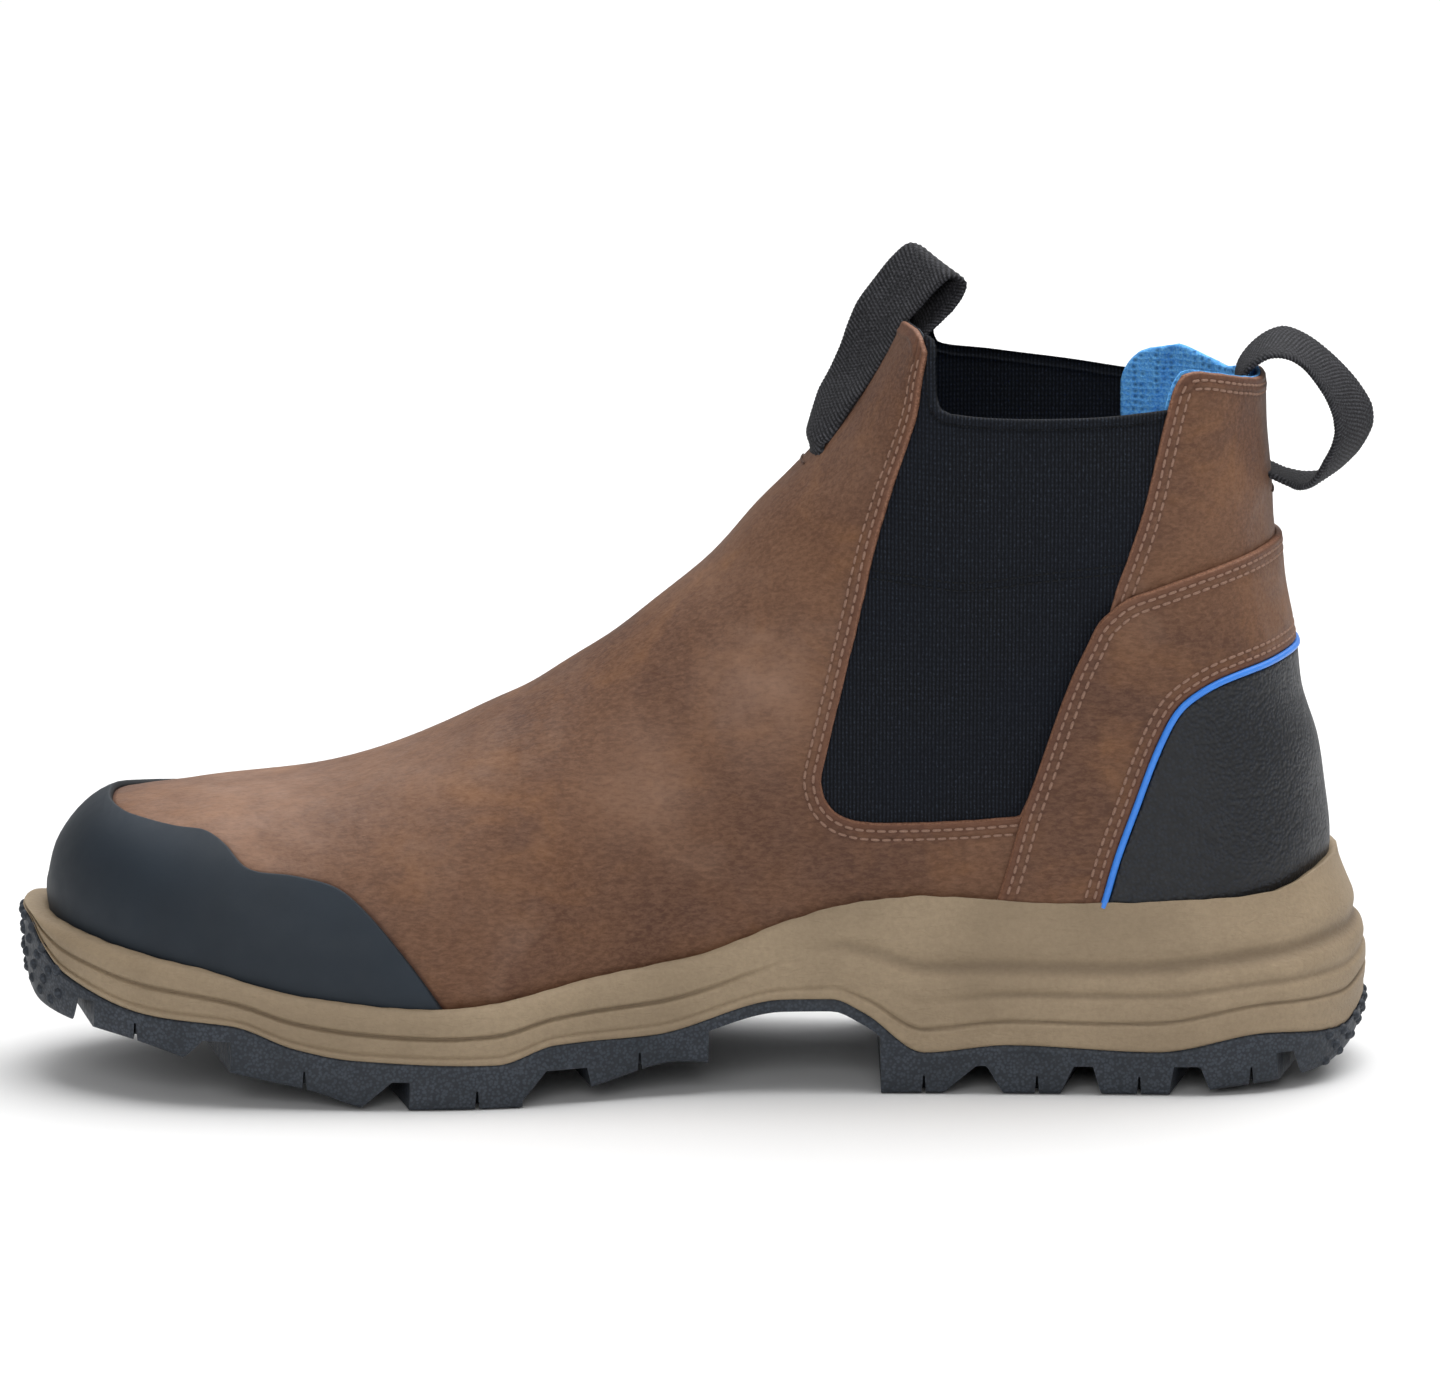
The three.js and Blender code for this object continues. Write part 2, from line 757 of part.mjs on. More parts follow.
// Pull loops: webbing swept along a path in side view
function ribbon(path) {
  const curve = new THREE.CatmullRomCurve3(path.map((p) => p.at), false, "centripetal");
  const steps = 2 * (path.length - 1);
  const points = [];
  for (let i = 0; i <= steps; i++) {
    const along = curve.getTangent(i / steps);
    const row = Math.min(Math.floor(i / 2), path.length - 2);
    const share = i / 2 - row;
    const turn = THREE.MathUtils.lerp(path[row].turn, path[row + 1].turn, share);
    const dip = THREE.MathUtils.lerp(path[row].dip, path[row + 1].dip, share);
    const near = new THREE.Vector3(0, -1, 0)
      .applyAxisAngle(new THREE.Vector3(1, 0, 0), THREE.MathUtils.degToRad(dip))
      .applyAxisAngle(new THREE.Vector3(0, 0, 1), THREE.MathUtils.degToRad(turn));
    near.addScaledVector(along, -near.dot(along)).normalize();
    const face = along.clone().cross(near);
    for (const [u, v] of [[1, 1], [-1, 1], [-1, -1], [1, -1]]) {
      points.push(
        curve
          .getPoint(i / steps)
          .addScaledVector(near, (u * loopWidth) / 2)
          .addScaledVector(face, (v * webbingThick) / 2),
      );
    }
  }
  const faces = [[0, 2, 1], [0, 3, 2]];
  for (let i = 0; i < steps; i++) {
    for (let k = 0; k < 4; k++) {
      const a = 4 * i + k;
      const b = 4 * i + ((k + 1) % 4);
      faces.push([a, b, b + 4], [a, b + 4, a + 4]);
    }
  }
  const end = 4 * steps;
  faces.push([end, end + 1, end + 2], [end, end + 2, end + 3]);
  return solid(indexed(points, faces));
}

// Front outline of the shaft at a height, found on the fan's top curve.
function frontX(z) {
  const points = topCurve.getPoints(200);
  const i = points.findIndex((p, k) => k > 0 && p.z >= z);
  const [a, b] = [points[i - 1], points[i]];
  return THREE.MathUtils.mapLinear(z, a.z, b.z, a.x, b.x);
}

// Where webbing lies flat: on the leather's face, or inside, where the wall's curve
// lifts the middle of the webbing off it.
const onFace = clearance + webbingThick / 2;
const hollow = loopWidth ** 2 / (4 * shaftWidth);
const onLining = wall + onFace + 2 * hollow;

function lying(level, surfaceX, offset) {
  const z = height(level);
  return { at: new THREE.Vector3(surfaceX(z) + offset, 0, z), turn: 0, dip: 0 };
}

function free(row) {
  return { ...row, at: new THREE.Vector3(length * row.x, 0, height(row.level)) };
}

const frontPath = [
  ...frontOuterLevels.map((level) => lying(level, frontX, -1.6 * onFace)),
  ...frontLoop.map(free),
  ...frontInnerLevels.map((level) => lying(level, frontX, onLining)),
];
const backPath = [
  ...backOuterLevels.map((level) => lying(level, backX, 1.6 * onFace)),
  ...backLoop.map(free),
  ...backInnerLevels.map((level) => lying(level, backX, -onLining)),
];

// Materials
const finish = (color, roughness) => new THREE.MeshStandardMaterial({ color, roughness, metalness: 0 });
const leather = finish(0x74503a, 0.55);
const darkRubber = finish(0x23272c, 0.6);

const pieces = {
  outsole: [outsole, darkRubber],
  midsole: [midsole, finish(0x8a7860, 0.8)],
  insole: [insole, finish(0x3a3f45, 0.9)],
  upper: [upper, leather],
  gore_medial: [goreOf("medial"), finish(0x1a1e26, 0.9)],
  gore_lateral: [goreOf("lateral"), finish(0x1a1e26, 0.9)],
  toe_cap: [toeCap, finish(0x23282f, 0.45)],
  counter_surround: [surround, leather.clone()],
  heel_counter: [counter, finish(0x25272b, 0.6)],
  piping: [piping, finish(0x2e7de0, 0.5)],
  front_loop: [ribbon(frontPath), finish(0x26282c, 0.9)],
  back_loop: [ribbon(backPath), finish(0x26282c, 0.9)],
};

const boot = new THREE.Group();
for (const [name, [shape, material]] of Object.entries(pieces)) {
  const { numProp, vertProperties, triVerts } = shape.getMesh();
  const geometry = new THREE.BufferGeometry();
  geometry.setAttribute("position", new THREE.BufferAttribute(vertProperties, numProp));
  geometry.setIndex(new THREE.BufferAttribute(triVerts, 1));
  geometry.computeVertexNormals();
  const mesh = new THREE.Mesh(geometry, material);
  mesh.name = name;
  boot.add(mesh);
}

// The origin is on the floor, under the middle of the boot's box.
const box = new THREE.Box3().setFromObject(boot);
const middle = box.getCenter(new THREE.Vector3());
boot.position.set(-middle.x, -middle.y, -box.min.z);

export default boot;
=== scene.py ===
import math

import bpy
import numpy as np
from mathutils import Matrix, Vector, noise


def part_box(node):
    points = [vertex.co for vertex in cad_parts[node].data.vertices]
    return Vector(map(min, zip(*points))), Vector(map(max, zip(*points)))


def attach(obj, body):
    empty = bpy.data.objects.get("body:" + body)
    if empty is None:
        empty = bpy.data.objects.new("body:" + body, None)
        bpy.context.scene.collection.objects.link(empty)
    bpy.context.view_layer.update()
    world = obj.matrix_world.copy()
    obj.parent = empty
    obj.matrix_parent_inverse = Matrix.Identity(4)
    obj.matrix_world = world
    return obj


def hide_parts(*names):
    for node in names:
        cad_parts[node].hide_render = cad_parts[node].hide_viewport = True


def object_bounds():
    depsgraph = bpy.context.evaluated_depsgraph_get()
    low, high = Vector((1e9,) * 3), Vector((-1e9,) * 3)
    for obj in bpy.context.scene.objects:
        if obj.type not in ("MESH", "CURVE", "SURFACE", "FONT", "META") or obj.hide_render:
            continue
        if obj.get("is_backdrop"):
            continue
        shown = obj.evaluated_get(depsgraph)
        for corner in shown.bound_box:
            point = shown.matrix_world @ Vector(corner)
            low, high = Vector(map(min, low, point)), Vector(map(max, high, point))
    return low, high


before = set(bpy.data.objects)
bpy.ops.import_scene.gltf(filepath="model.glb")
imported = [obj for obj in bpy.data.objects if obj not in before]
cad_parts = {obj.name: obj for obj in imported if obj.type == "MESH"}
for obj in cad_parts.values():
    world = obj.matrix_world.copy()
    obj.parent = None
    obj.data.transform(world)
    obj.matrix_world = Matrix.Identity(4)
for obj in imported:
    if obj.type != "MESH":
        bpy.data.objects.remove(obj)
cad_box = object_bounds()

# Sizes of the boot in millimetres. The last's own axes start under the toe's tip:
# x runs to the heel, y to the lateral side and z up from the floor.
LENGTH = 308
BALL_WIDTH = 102
SHAFT_WIDTH = 84
HEEL_HEIGHT = 45
INSTEP_HEIGHT = 115
COLLAR_HEIGHT = 172.5
WALL = 2.2
CLEARANCE = 0.3
OVERLAY = 1.5
BEDDING = 4.5
WEBBING_WIDTH = 21
WEBBING_THICK = 1.6
TREAD_DEPTH = 6.5
ARCH_BAND = 2.7
CENTRE_CHANNEL = 6
TOE_ROUND = 46
HEEL_ROUND = 34
SHAFT_ROUND = 41
ROUNDNESS = 2.2
TUCK = 0.12
TUCK_HEIGHT = 12
FOLD_BEND = 0.004
FOLD_RIM = 0.9
UNEVEN = 0.22
RAGGED = 0.16
QUARTER_START = (0.78, 0.8)
BACK_START = (0.895, 0.925)

# Fineness of the leather's surface
GRID = 2.0
SIDE_POINTS = 60


def table(columns, rows):
    """Rows of numbers as arrays with names."""
    return dict(zip(columns, np.array(rows, float).T))


# x is a share of the length, and a height is a level: 0 the floor, 1 the top of the
# sole at the heel, 2 the instep, 3 the front of the collar.
LEVELS = np.array([0, HEEL_HEIGHT, INSTEP_HEIGHT, COLLAR_HEIGHT], float)


def height(level):
    level = np.asarray(level, float)
    k = np.clip(np.floor(level), 0, 2).astype(int)
    return LEVELS[k] + (LEVELS[k + 1] - LEVELS[k]) * (level - k)


def level_of(z):
    z = np.asarray(z, float)
    k = (z >= HEEL_HEIGHT).astype(int) + (z >= INSTEP_HEIGHT).astype(int)
    return k + (z - LEVELS[k]) / (LEVELS[k + 1] - LEVELS[k])


# Side view of the last as a fan of section lines, each from its top to its foot or back
FAN = table(["top_x", "top", "foot_x", "foot", "crown", "fullness"], [
    [0.0237, 0.956, 0.0237, 0.911, 0.06, 2.3],
    [0.0321, 1.104, 0.0325, 0.767, 0.12, 2.3],
    [0.0601, 1.233, 0.0568, 0.678, 0.2, 2.4],
    [0.1282, 1.286, 0.1282, 0.533, 0.29, 2.4],
    [0.2289, 1.341, 0.2224, 0.389, 0.42, 2.3],
    [0.3166, 1.474, 0.3166, 0.322, 0.52, 2.2],
    [0.414, 1.703, 0.4302, 0.389, 0.58, 2.1],
    [0.5016, 2.0, 0.5828, 0.6, 0.6, 2.1],
    [0.5438, 2.243, 0.7614, 0.733, 0.58, 2.1],
    [0.5682, 2.37, 0.9075, 0.789, 0.52, 2.1],
    [0.5877, 2.478, 0.9568, 0.956, 0.46, 2.1],
    [0.6104, 2.626, 0.9614, 1.243, 0.38, 2.2],
    [0.6299, 2.791, 0.9386, 1.757, 0.31, 2.3],
    [0.6445, 2.93, 0.925, 2.348, 0.25, 2.4],
    [0.6607, 3.148, 0.9192, 3.043, 0.22, 2.4],
])
HEEL_ROW = 10

BACK = table(["level", "x"], [
    [0.8, 0.9432], [0.956, 0.9568], [1.1, 0.9646], [1.286, 0.9601], [1.414, 0.9558],
    [1.614, 0.9422], [1.757, 0.9386], [2.0, 0.9289], [2.348, 0.925], [2.626, 0.9205],
    [3.15, 0.9192],
])

# Half widths and lean of the last in plan, as shares of half the ball width
PLAN = table(["x", "medial", "lateral", "lean"], [
    [0.0244, 0.72, 0.7, -0.13],
    [0.1282, 0.86, 0.82, -0.11],
    [0.2256, 0.95, 0.95, -0.08],
    [0.3166, 1.0, 1.0, -0.04],
    [0.3718, 0.97, 1.01, -0.02],
    [0.4302, 0.86, 0.98, 0],
    [0.5016, 0.74, 0.9, 0],
    [0.5828, 0.68, 0.8, 0],
    [0.664, 0.67, 0.73, 0],
    [0.7614, 0.68, 0.7, 0],
    [0.8588, 0.69, 0.69, 0],
    [0.9627, 0.69, 0.69, 0],
])

# Side lines of the sole: the midsole's top edge, its joint with the outsole, and the tread
TOP_EDGE = table(["x", "level"], [
    [0.0, 0.87], [0.0373, 0.822], [0.0828, 0.76], [0.1347, 0.702], [0.2159, 0.564],
    [0.3133, 0.504], [0.4282, 0.633], [0.5016, 0.716], [0.5763, 0.898], [0.6136, 0.962],
    [0.6656, 1.0], [0.7695, 0.964], [0.8734, 0.987], [0.9253, 1.006], [0.9711, 1.067],
    [1.0, 1.08],
])
JOINT = table(["x", "level"], [
    [0.0, 0.846], [0.0065, 0.831], [0.0188, 0.702], [0.0354, 0.593], [0.099, 0.451],
    [0.1607, 0.42], [0.2078, 0.307], [0.25, 0.253], [0.3539, 0.222], [0.3977, 0.309],
    [0.4675, 0.324], [0.5633, 0.482], [0.599, 0.484], [0.6234, 0.411], [0.6672, 0.211],
    [0.7289, 0.251], [0.836, 0.22], [0.9172, 0.307], [0.9756, 0.273], [1.0, 0.38],
])
TREAD = table(["x", "level"], [
    [0.0, 0.467], [0.0146, 0.391], [0.0893, 0.309], [0.1607, 0.178], [0.2159, 0.098],
    [0.2679, 0], [0.3782, 0], [0.4269, 0.082], [0.4854, 0.176], [0.638, 0], [0.8523, 0],
    [0.888, 0.031], [0.9594, 0.076], [0.9821, 0.142], [1.0, 0.289],
])

# How far the sole stands out past the last in plan, as a share of the heel height
FLARE = table(["x", "out"], [
    [0.0, 0.174], [0.0795, 0.122], [0.1769, 0.1], [0.3166, 0.089], [0.5016, 0.089],
    [0.6315, 0.115], [0.8263, 0.135], [0.94, 0.205], [0.99, 0.257],
])
WELT_LEVEL = 1.05
FORE_END = 0.5
HEEL_START = 0.66

# Edges of the upper's panels in side view
COLLAR = table(["x", "level"], [
    [-0.2, 2.9], [0.61, 2.91], [0.63, 2.94], [0.646, 2.99], [0.6585, 3.0], [0.6656, 2.925],
    [0.67, 2.9], [0.84, 2.83],
    [0.862, 2.861], [0.88, 2.847], [0.905, 2.802], [0.92, 2.774], [1.2, 2.77],
])
TOE_CAP_RIM = table(["x", "level"], [
    [0.0656, 1.5], [0.0656, 1.26], [0.076, 1.235], [0.1, 1.217], [0.1205, 1.207],
    [0.142, 1.201], [0.1558, 1.17], [0.1724, 1.107], [0.2078, 1.086], [0.239, 1.053],
    [0.2591, 0.98], [0.2873, 0.762], [0.311, 0.54], [0.325, 0.38],
])
GORE_FRONT = table(["x", "level"], [
    [0.67, 3.2], [0.6653, 2.93], [0.6617, 2.835], [0.6575, 2.677], [0.6448, 2.47],
    [0.6286, 2.157], [0.6195, 1.936], [0.6062, 1.679], [0.5945, 1.45], [0.5912, 1.371],
    [0.5945, 1.307], [0.604, 1.26], [0.6217, 1.236], [0.6932, 1.239], [0.737, 1.254],
])
LATERAL_DROP = 5.2
GORE_TOPS = {
    -1: table(["x", "level"], [
        [0.651, 2.99], [0.6665, 2.985], [0.6685, 2.86], [0.671, 2.745], [0.676, 2.712],
        [0.6867, 2.703], [0.7256, 2.689], [0.7841, 2.692], [0.8474, 2.717], [0.9, 2.73],
    ]),
    1: table(["x", "level"], [
        [0.655, 2.99], [0.6685, 2.985], [0.6705, 2.9], [0.6735, 2.815], [0.682, 2.786],
        [0.725, 2.752], [0.775, 2.718], [0.821, 2.683], [0.9, 2.65],
    ]),
}
GORE_SEAM = table(["x", "level"], [
    [0.55, 2.09], [0.6233, 2.062], [0.653, 2.045], [0.697, 2.021], [0.7468, 2.053], [0.8, 2.088],
    [0.86, 2.13],
])
QUARTER_FRONT = table(["x", "level"], [
    [0.8019, 1.944], [0.8065, 2.017], [0.8192, 2.209], [0.8273, 2.348], [0.8399, 2.626],
    [0.849, 2.8], [0.862, 2.92], [0.868, 3.2],
])
SURROUND = table(["x", "level"], [
    [1.1, 2.15], [0.9289, 2.137], [0.9058, 2.12], [0.8805, 2.09], [0.861, 2.063],
    [0.8341, 2.019], [0.8133, 1.983], [0.8019, 1.944], [0.7929, 1.903], [0.7847, 1.827],
    [0.776, 1.744], [0.7656, 1.621], [0.7487, 1.393], [0.7383, 1.256], [0.7263, 1.064],
    [0.717, 0.9], [0.71, 0.75],
])
PIPING = table(["x", "level"], [
    [1.1, 1.76], [0.9445, 1.749], [0.9292, 1.746], [0.9123, 1.734], [0.8951, 1.719],
    [0.8782, 1.696], [0.8643, 1.663], [0.8542, 1.627], [0.8474, 1.584], [0.8354, 1.461],
    [0.8221, 1.293], [0.8084, 1.12], [0.799, 0.96], [0.791, 0.8],
])

# Soft folds of the leather in side view: middle, direction in degrees, half length and
# half width in mm, depth of the trough in mm, and the side: -1 medial, 1 lateral, 0 both.
FOLDS = table(["x", "level", "angle", "long", "wide", "deep", "side"], [
    [0.36, 1.42, 68, 24, 5.5, 0.55, 0],
    [0.405, 1.5, 60, 30, 6.5, 0.5, -1],
    [0.42, 1.52, 72, 26, 6, 0.55, 1],
    [0.45, 1.62, 52, 34, 7, -0.45, 0],
    [0.487, 1.78, 48, 30, 6, 0.5, -1],
    [0.5, 1.86, 42, 30, 6, 0.45, 1],
    [0.548, 2.12, 35, 26, 6, 0.55, 0],
    [0.6, 2.42, 26, 22, 4.5, 0.6, -1],
    [0.59, 2.33, 30, 24, 5, 0.5, 1],
    [0.57, 1.35, 20, 26, 7, 0.3, 0],
    [0.86, 2.32, -12, 18, 5, 0.3, 0],
    [0.88, 2.55, 8, 16, 5, 0.25, 1],
])

# Lighter places where the leather is pulled or worn: middle, size in mm and strength
WORN = table(["x", "level", "wide", "much"], [
    [0.17, 1.27, 26, 1.0],
    [0.27, 1.36, 20, 0.5],
    [0.547, 1.68, 15, 0.9],
    [0.466, 1.39, 13, 0.6],
    [0.52, 1.95, 14, 0.35],
    [0.61, 2.45, 10, 0.3],
])


def through(rows, into="x", out="level"):
    """A smooth function through two columns of a table, with no overshoot."""
    xs, ys = rows[into], rows[out]
    secants = np.diff(ys) / np.diff(xs)
    before = np.concatenate([secants[:1], secants])
    after = np.concatenate([secants, secants[-1:]])
    level = before * after <= 0
    slopes = np.where(level, 0, 2 * before * after / np.where(level, 1, before + after))

    def curve(value):
        at = np.clip(value, xs[0], xs[-1])
        i = np.clip(np.searchsorted(xs, at, side="right") - 1, 0, len(xs) - 2)
        span = xs[i + 1] - xs[i]
        t = (at - xs[i]) / span
        rise = (3 - 2 * t) * t * t
        bend = t * (1 - t) * span * ((1 - t) * slopes[i] - t * slopes[i + 1])
        return ys[i] * (1 - rise) + ys[i + 1] * rise + bend

    return curve


def line_height(rows):
    """The height in mm of a table's line, as a function of x in mm."""
    level = through(rows)
    return lambda x: height(level(x / LENGTH))


back_share = through(BACK, "level", "x")
half_plan = {-1: through(PLAN, "x", "medial"), 1: through(PLAN, "x", "lateral")}
lean_share = through(PLAN, "x", "lean")
flare_share = through(FLARE, "x", "out")
top_edge_z = line_height(TOP_EDGE)
joint_z = line_height(JOINT)
tread_z = line_height(TREAD)
TOE_END = LENGTH * PLAN["x"][0] - 0.3


def back_x(z):
    return LENGTH * back_share(level_of(z))


def lean(x):
    return BALL_WIDTH / 2 * lean_share(x / LENGTH)


def dome(q, power):
    """Rises from 0 to 1 as q does, steeply at first and level at the end."""
    return (1 - (1 - np.clip(q, 0, 1)) ** power) ** (1 / power)


def ease(value, low, high):
    """Rises smoothly from 0 to 1 between two values."""
    t = np.clip((value - low) / (high - low), 0, 1)
    return t * t * (3 - 2 * t)


def bell(value, width):
    return np.exp(-((value / width) ** 2))


def unit(vectors):
    """Vectors made one long."""
    return vectors / np.maximum(np.linalg.norm(vectors, axis=-1, keepdims=True), 1e-12)


def run_along(path):
    """Distance from the start at each point of a path."""
    return np.concatenate([[0], np.cumsum(np.linalg.norm(np.diff(path, axis=0), axis=1))])


def read_off(at, run, rows):
    """Rows of values at distances along a path."""
    return np.stack([np.interp(at, run, column) for column in rows.T], 1)


def breadth(x, z, side):
    """Half width of the last at a place in side view, before its top rounds off."""
    t = ease(z, height(1.2), height(2.4))
    foot = BALL_WIDTH / 2 * half_plan[side](x / LENGTH)
    full = foot + (SHAFT_WIDTH / 2 - foot) * t
    at_back = dome((back_x(z) - x) / (HEEL_ROUND + (SHAFT_ROUND - HEEL_ROUND) * t), ROUNDNESS)
    return full * at_back * dome((x - TOE_END) / TOE_ROUND, ROUNDNESS)


def catmull(points, at):
    """Centripetal curve through points, at parameters counted in points."""
    ends = 2 * points[[0, -1]] - points[[1, -2]]
    all_points = np.vstack([ends[:1], points, ends[1:]])
    i = np.clip(np.floor(at).astype(int), 0, len(points) - 2)
    w = (at - i)[:, None]
    p = [all_points[i + k] for k in range(4)]
    gap = [np.sqrt(np.linalg.norm(p[k + 1] - p[k], axis=1))[:, None] for k in range(3)]
    secant = [(p[k + 1] - p[k]) / gap[k] for k in range(3)]
    out = (secant[0] - (p[2] - p[0]) / (gap[0] + gap[1]) + secant[1]) * gap[1]
    into = (secant[1] - (p[3] - p[1]) / (gap[1] + gap[2]) + secant[2]) * gap[1]
    rise = p[2] - p[1]
    return p[1] + out * w + (3 * rise - 2 * out - into) * w**2 + (out + into - 2 * rise) * w**3


def side_points(rows, x_name="x", level_name="level"):
    return np.stack([LENGTH * rows[x_name], height(rows[level_name])], 1)


def side_curve(rows, steps=6):
    """A table's edge as a smooth line in side view."""
    points = side_points(rows)
    return catmull(points, np.linspace(0, len(points) - 1, steps * (len(points) - 1) + 1))


TOP_POINTS = side_points(FAN, "top_x", "top")
FOOT_POINTS = side_points(FAN, "foot_x", "foot")
FAN_AT = {"at": np.arange(len(TOP_POINTS)), **FAN}
crown_at = through(FAN_AT, "at", "crown")
full_at = through(FAN_AT, "at", "fullness")


def section_ends(at):
    top, foot = catmull(TOP_POINTS, at), catmull(FOOT_POINTS, at)
    behind = at > HEEL_ROW
    foot[behind, 0] = back_x(foot[behind, 1])
    return top, foot


def last_points(at, share, side):
    """Points of the last: row parameters (n), shares down each line (n, m), side -1 or 1."""
    top, foot = section_ends(at)
    run = np.linalg.norm(foot - top, axis=1)[:, None]
    flat = top[:, None] + (foot - top)[:, None] * share[..., None]
    x, z = flat[..., 0], flat[..., 1]
    rounding = dome(run * share / (BALL_WIDTH * crown_at(at)[:, None]), full_at(at)[:, None])
    low = 1 - np.minimum(run * (1 - share) / TUCK_HEIGHT, 1)
    half = breadth(x, z, side) * rounding * (1 - TUCK * low * low)
    return np.stack([x, lean(x) + side * half, z], -1)


def even_rows():
    """Row parameters that lie about one grid step apart at the wider end of the lines."""
    fine = np.linspace(0, len(TOP_POINTS) - 1, 3000)
    steps = [np.linalg.norm(np.diff(line, axis=0), axis=1) for line in section_ends(fine)]
    along = np.concatenate([[0], np.cumsum(np.maximum(*steps))])
    return np.interp(np.linspace(0, along[-1], int(along[-1] / GRID)), along, fine)


def even_shares(at, side):
    """Shares down each line at equal distances on the surface."""
    fine = np.linspace(0, 1, 500) ** 2
    points = last_points(at, np.tile(fine, (len(at), 1)), side)
    wanted = np.linspace(0, 1, SIDE_POINTS + 1)
    runs = [run_along(line) for line in points]
    return np.array([np.interp(wanted * run[-1], run, fine) for run in runs])


# Surfaces
class Skin:
    """Triangles whose vertices have a place, a normal and other named values."""

    def __init__(self, faces, **values):
        self.faces = faces
        self.values = values

    def __getitem__(self, name):
        return self.values[name]

    def __setitem__(self, name, value):
        self.values[name] = value

    def copy(self):
        return Skin(self.faces.copy(), **{k: v.copy() for k, v in self.values.items()})

    def lifted(self, away):
        """The points moved along their normals, by one distance or one for each."""
        return self["at"] + self["out"] * np.reshape(away, (-1, 1))

    def cut(self, name, level):
        """Splits the triangles that cross a level of a value."""
        value = self[name] - level
        value = np.where(np.abs(value) < 1e-5, 1e-5, value)
        above = value > 0
        count = above[self.faces].sum(1)
        crossing = (count == 1) | (count == 2)
        if not crossing.any():
            return self
        face = self.faces[crossing]
        alone = above[face] == (count[crossing] == 1)[:, None]
        order = (alone.argmax(1)[:, None] + np.arange(3)) % 3
        a, b, c = np.take_along_axis(face, order, 1).T
        total = len(value)
        pairs = np.sort([np.r_[a, a], np.r_[b, c]], axis=0)
        key, where = np.unique(pairs[0].astype(np.int64) * total + pairs[1], return_inverse=True)
        i, j = key // total, key % total
        t = value[i] / (value[i] - value[j])
        for k, v in self.values.items():
            share = t.reshape(-1, *[1] * (v.ndim - 1))
            self[k] = np.concatenate([v, v[i] * (1 - share) + v[j] * share])
        ab, ac = total + where[: len(a)], total + where[len(a):]
        new = [np.stack(f, 1) for f in ((a, ab, ac), (ab, b, c), (ab, c, ac))]
        self.faces = np.concatenate([self.faces[~crossing], *new])
        return self

    def cuts(self, name, levels):
        for level in levels:
            self.cut(name, level)
        return self

    def keep(self, name, level=0.0):
        """Cuts at a level and keeps what lies above it."""
        self.cut(name, level)
        self.faces = self.faces[self[name][self.faces].mean(1) > level]
        used, where = np.unique(self.faces, return_inverse=True)
        self.faces = where.reshape(-1, 3)
        self.values = {k: v[used] for k, v in self.values.items()}
        return self


def vertex_normals(points, faces):
    a, b, c = points[faces.T]
    total = np.zeros_like(points)
    for corner in faces.T:
        np.add.at(total, corner, np.cross(b - a, c - a))
    return unit(total)


def numbered(rows, columns):
    """Vertex numbers of a grid."""
    return np.arange(rows * columns).reshape(rows, columns)


def around(index):
    """A grid of vertex numbers whose last column joins its first."""
    return np.concatenate([index, index[:, :1]], 1)


def grid_faces(index):
    """Triangles between the neighbours of a grid of vertex numbers."""
    a, b = index[:-1, :-1].ravel(), index[1:, :-1].ravel()
    c, d = index[1:, 1:].ravel(), index[:-1, 1:].ravel()
    faces = np.concatenate([np.stack([a, b, c], 1), np.stack([a, c, d], 1)])
    sound = (faces[:, 0] != faces[:, 1]) & (faces[:, 1] != faces[:, 2])
    return faces[sound & (faces[:, 2] != faces[:, 0])]


def fan(ring):
    """Triangles that close a ring of vertex numbers from its first one."""
    return np.array([[ring[0], ring[k], ring[k + 1]] for k in range(1, len(ring) - 1)])


def tube_faces(rings, sides):
    index = numbered(rings, sides)
    return np.concatenate([grid_faces(around(index))[:, ::-1], fan(index[0]), fan(index[-1])[:, ::-1]])


def across_ring(ring, tips=0):
    """Triangles from one long side of a ring to the other. With tips, its ends are points."""
    there = np.arange(len(ring) // 2 + tips)
    back = (len(ring) - 1 + tips - there) % len(ring)
    return grid_faces(ring[np.array([there, back])])[:, ::-1]


def region(points, normals, outline):
    """Distance on the surface to a side view outline, positive inside it."""
    x, z = points[:, 0], points[:, 2]
    nearest = np.full(len(x), 1e9)
    away = np.zeros((len(x), 2))
    inside = np.zeros(len(x), bool)
    for (x0, z0), (x1, z1) in zip(outline, np.roll(outline, -1, axis=0)):
        dx, dz = x1 - x0, z1 - z0
        run = max(dx * dx + dz * dz, 1e-12)
        t = np.clip(((x - x0) * dx + (z - z0) * dz) / run, 0, 1)
        gap = np.stack([x - x0 - t * dx, z - z0 - t * dz], 1)
        far = np.linalg.norm(gap, axis=1)
        closer = far < nearest
        nearest = np.where(closer, far, nearest)
        away[closer] = gap[closer]
        crosses = (z0 > z) != (z1 > z)
        inside ^= crosses & (x < x0 + (z - z0) * dx / (dz if dz else 1))
    away /= np.maximum(nearest, 1e-9)[:, None]
    tilt = normals[:, 0] * away[:, 0] + normals[:, 2] * away[:, 1]
    true = nearest / np.sqrt(np.maximum(1 - tilt**2, 0.12))
    return np.where(inside, true, -true)


def each(rows):
    """The rows of a table, one at a time, by column name."""
    for values in zip(*rows.values()):
        yield dict(zip(rows, values))


def from_place(points, row):
    """Distances in side view from a row's place."""
    return points[:, 0] - LENGTH * row["x"], points[:, 2] - height(row["level"])


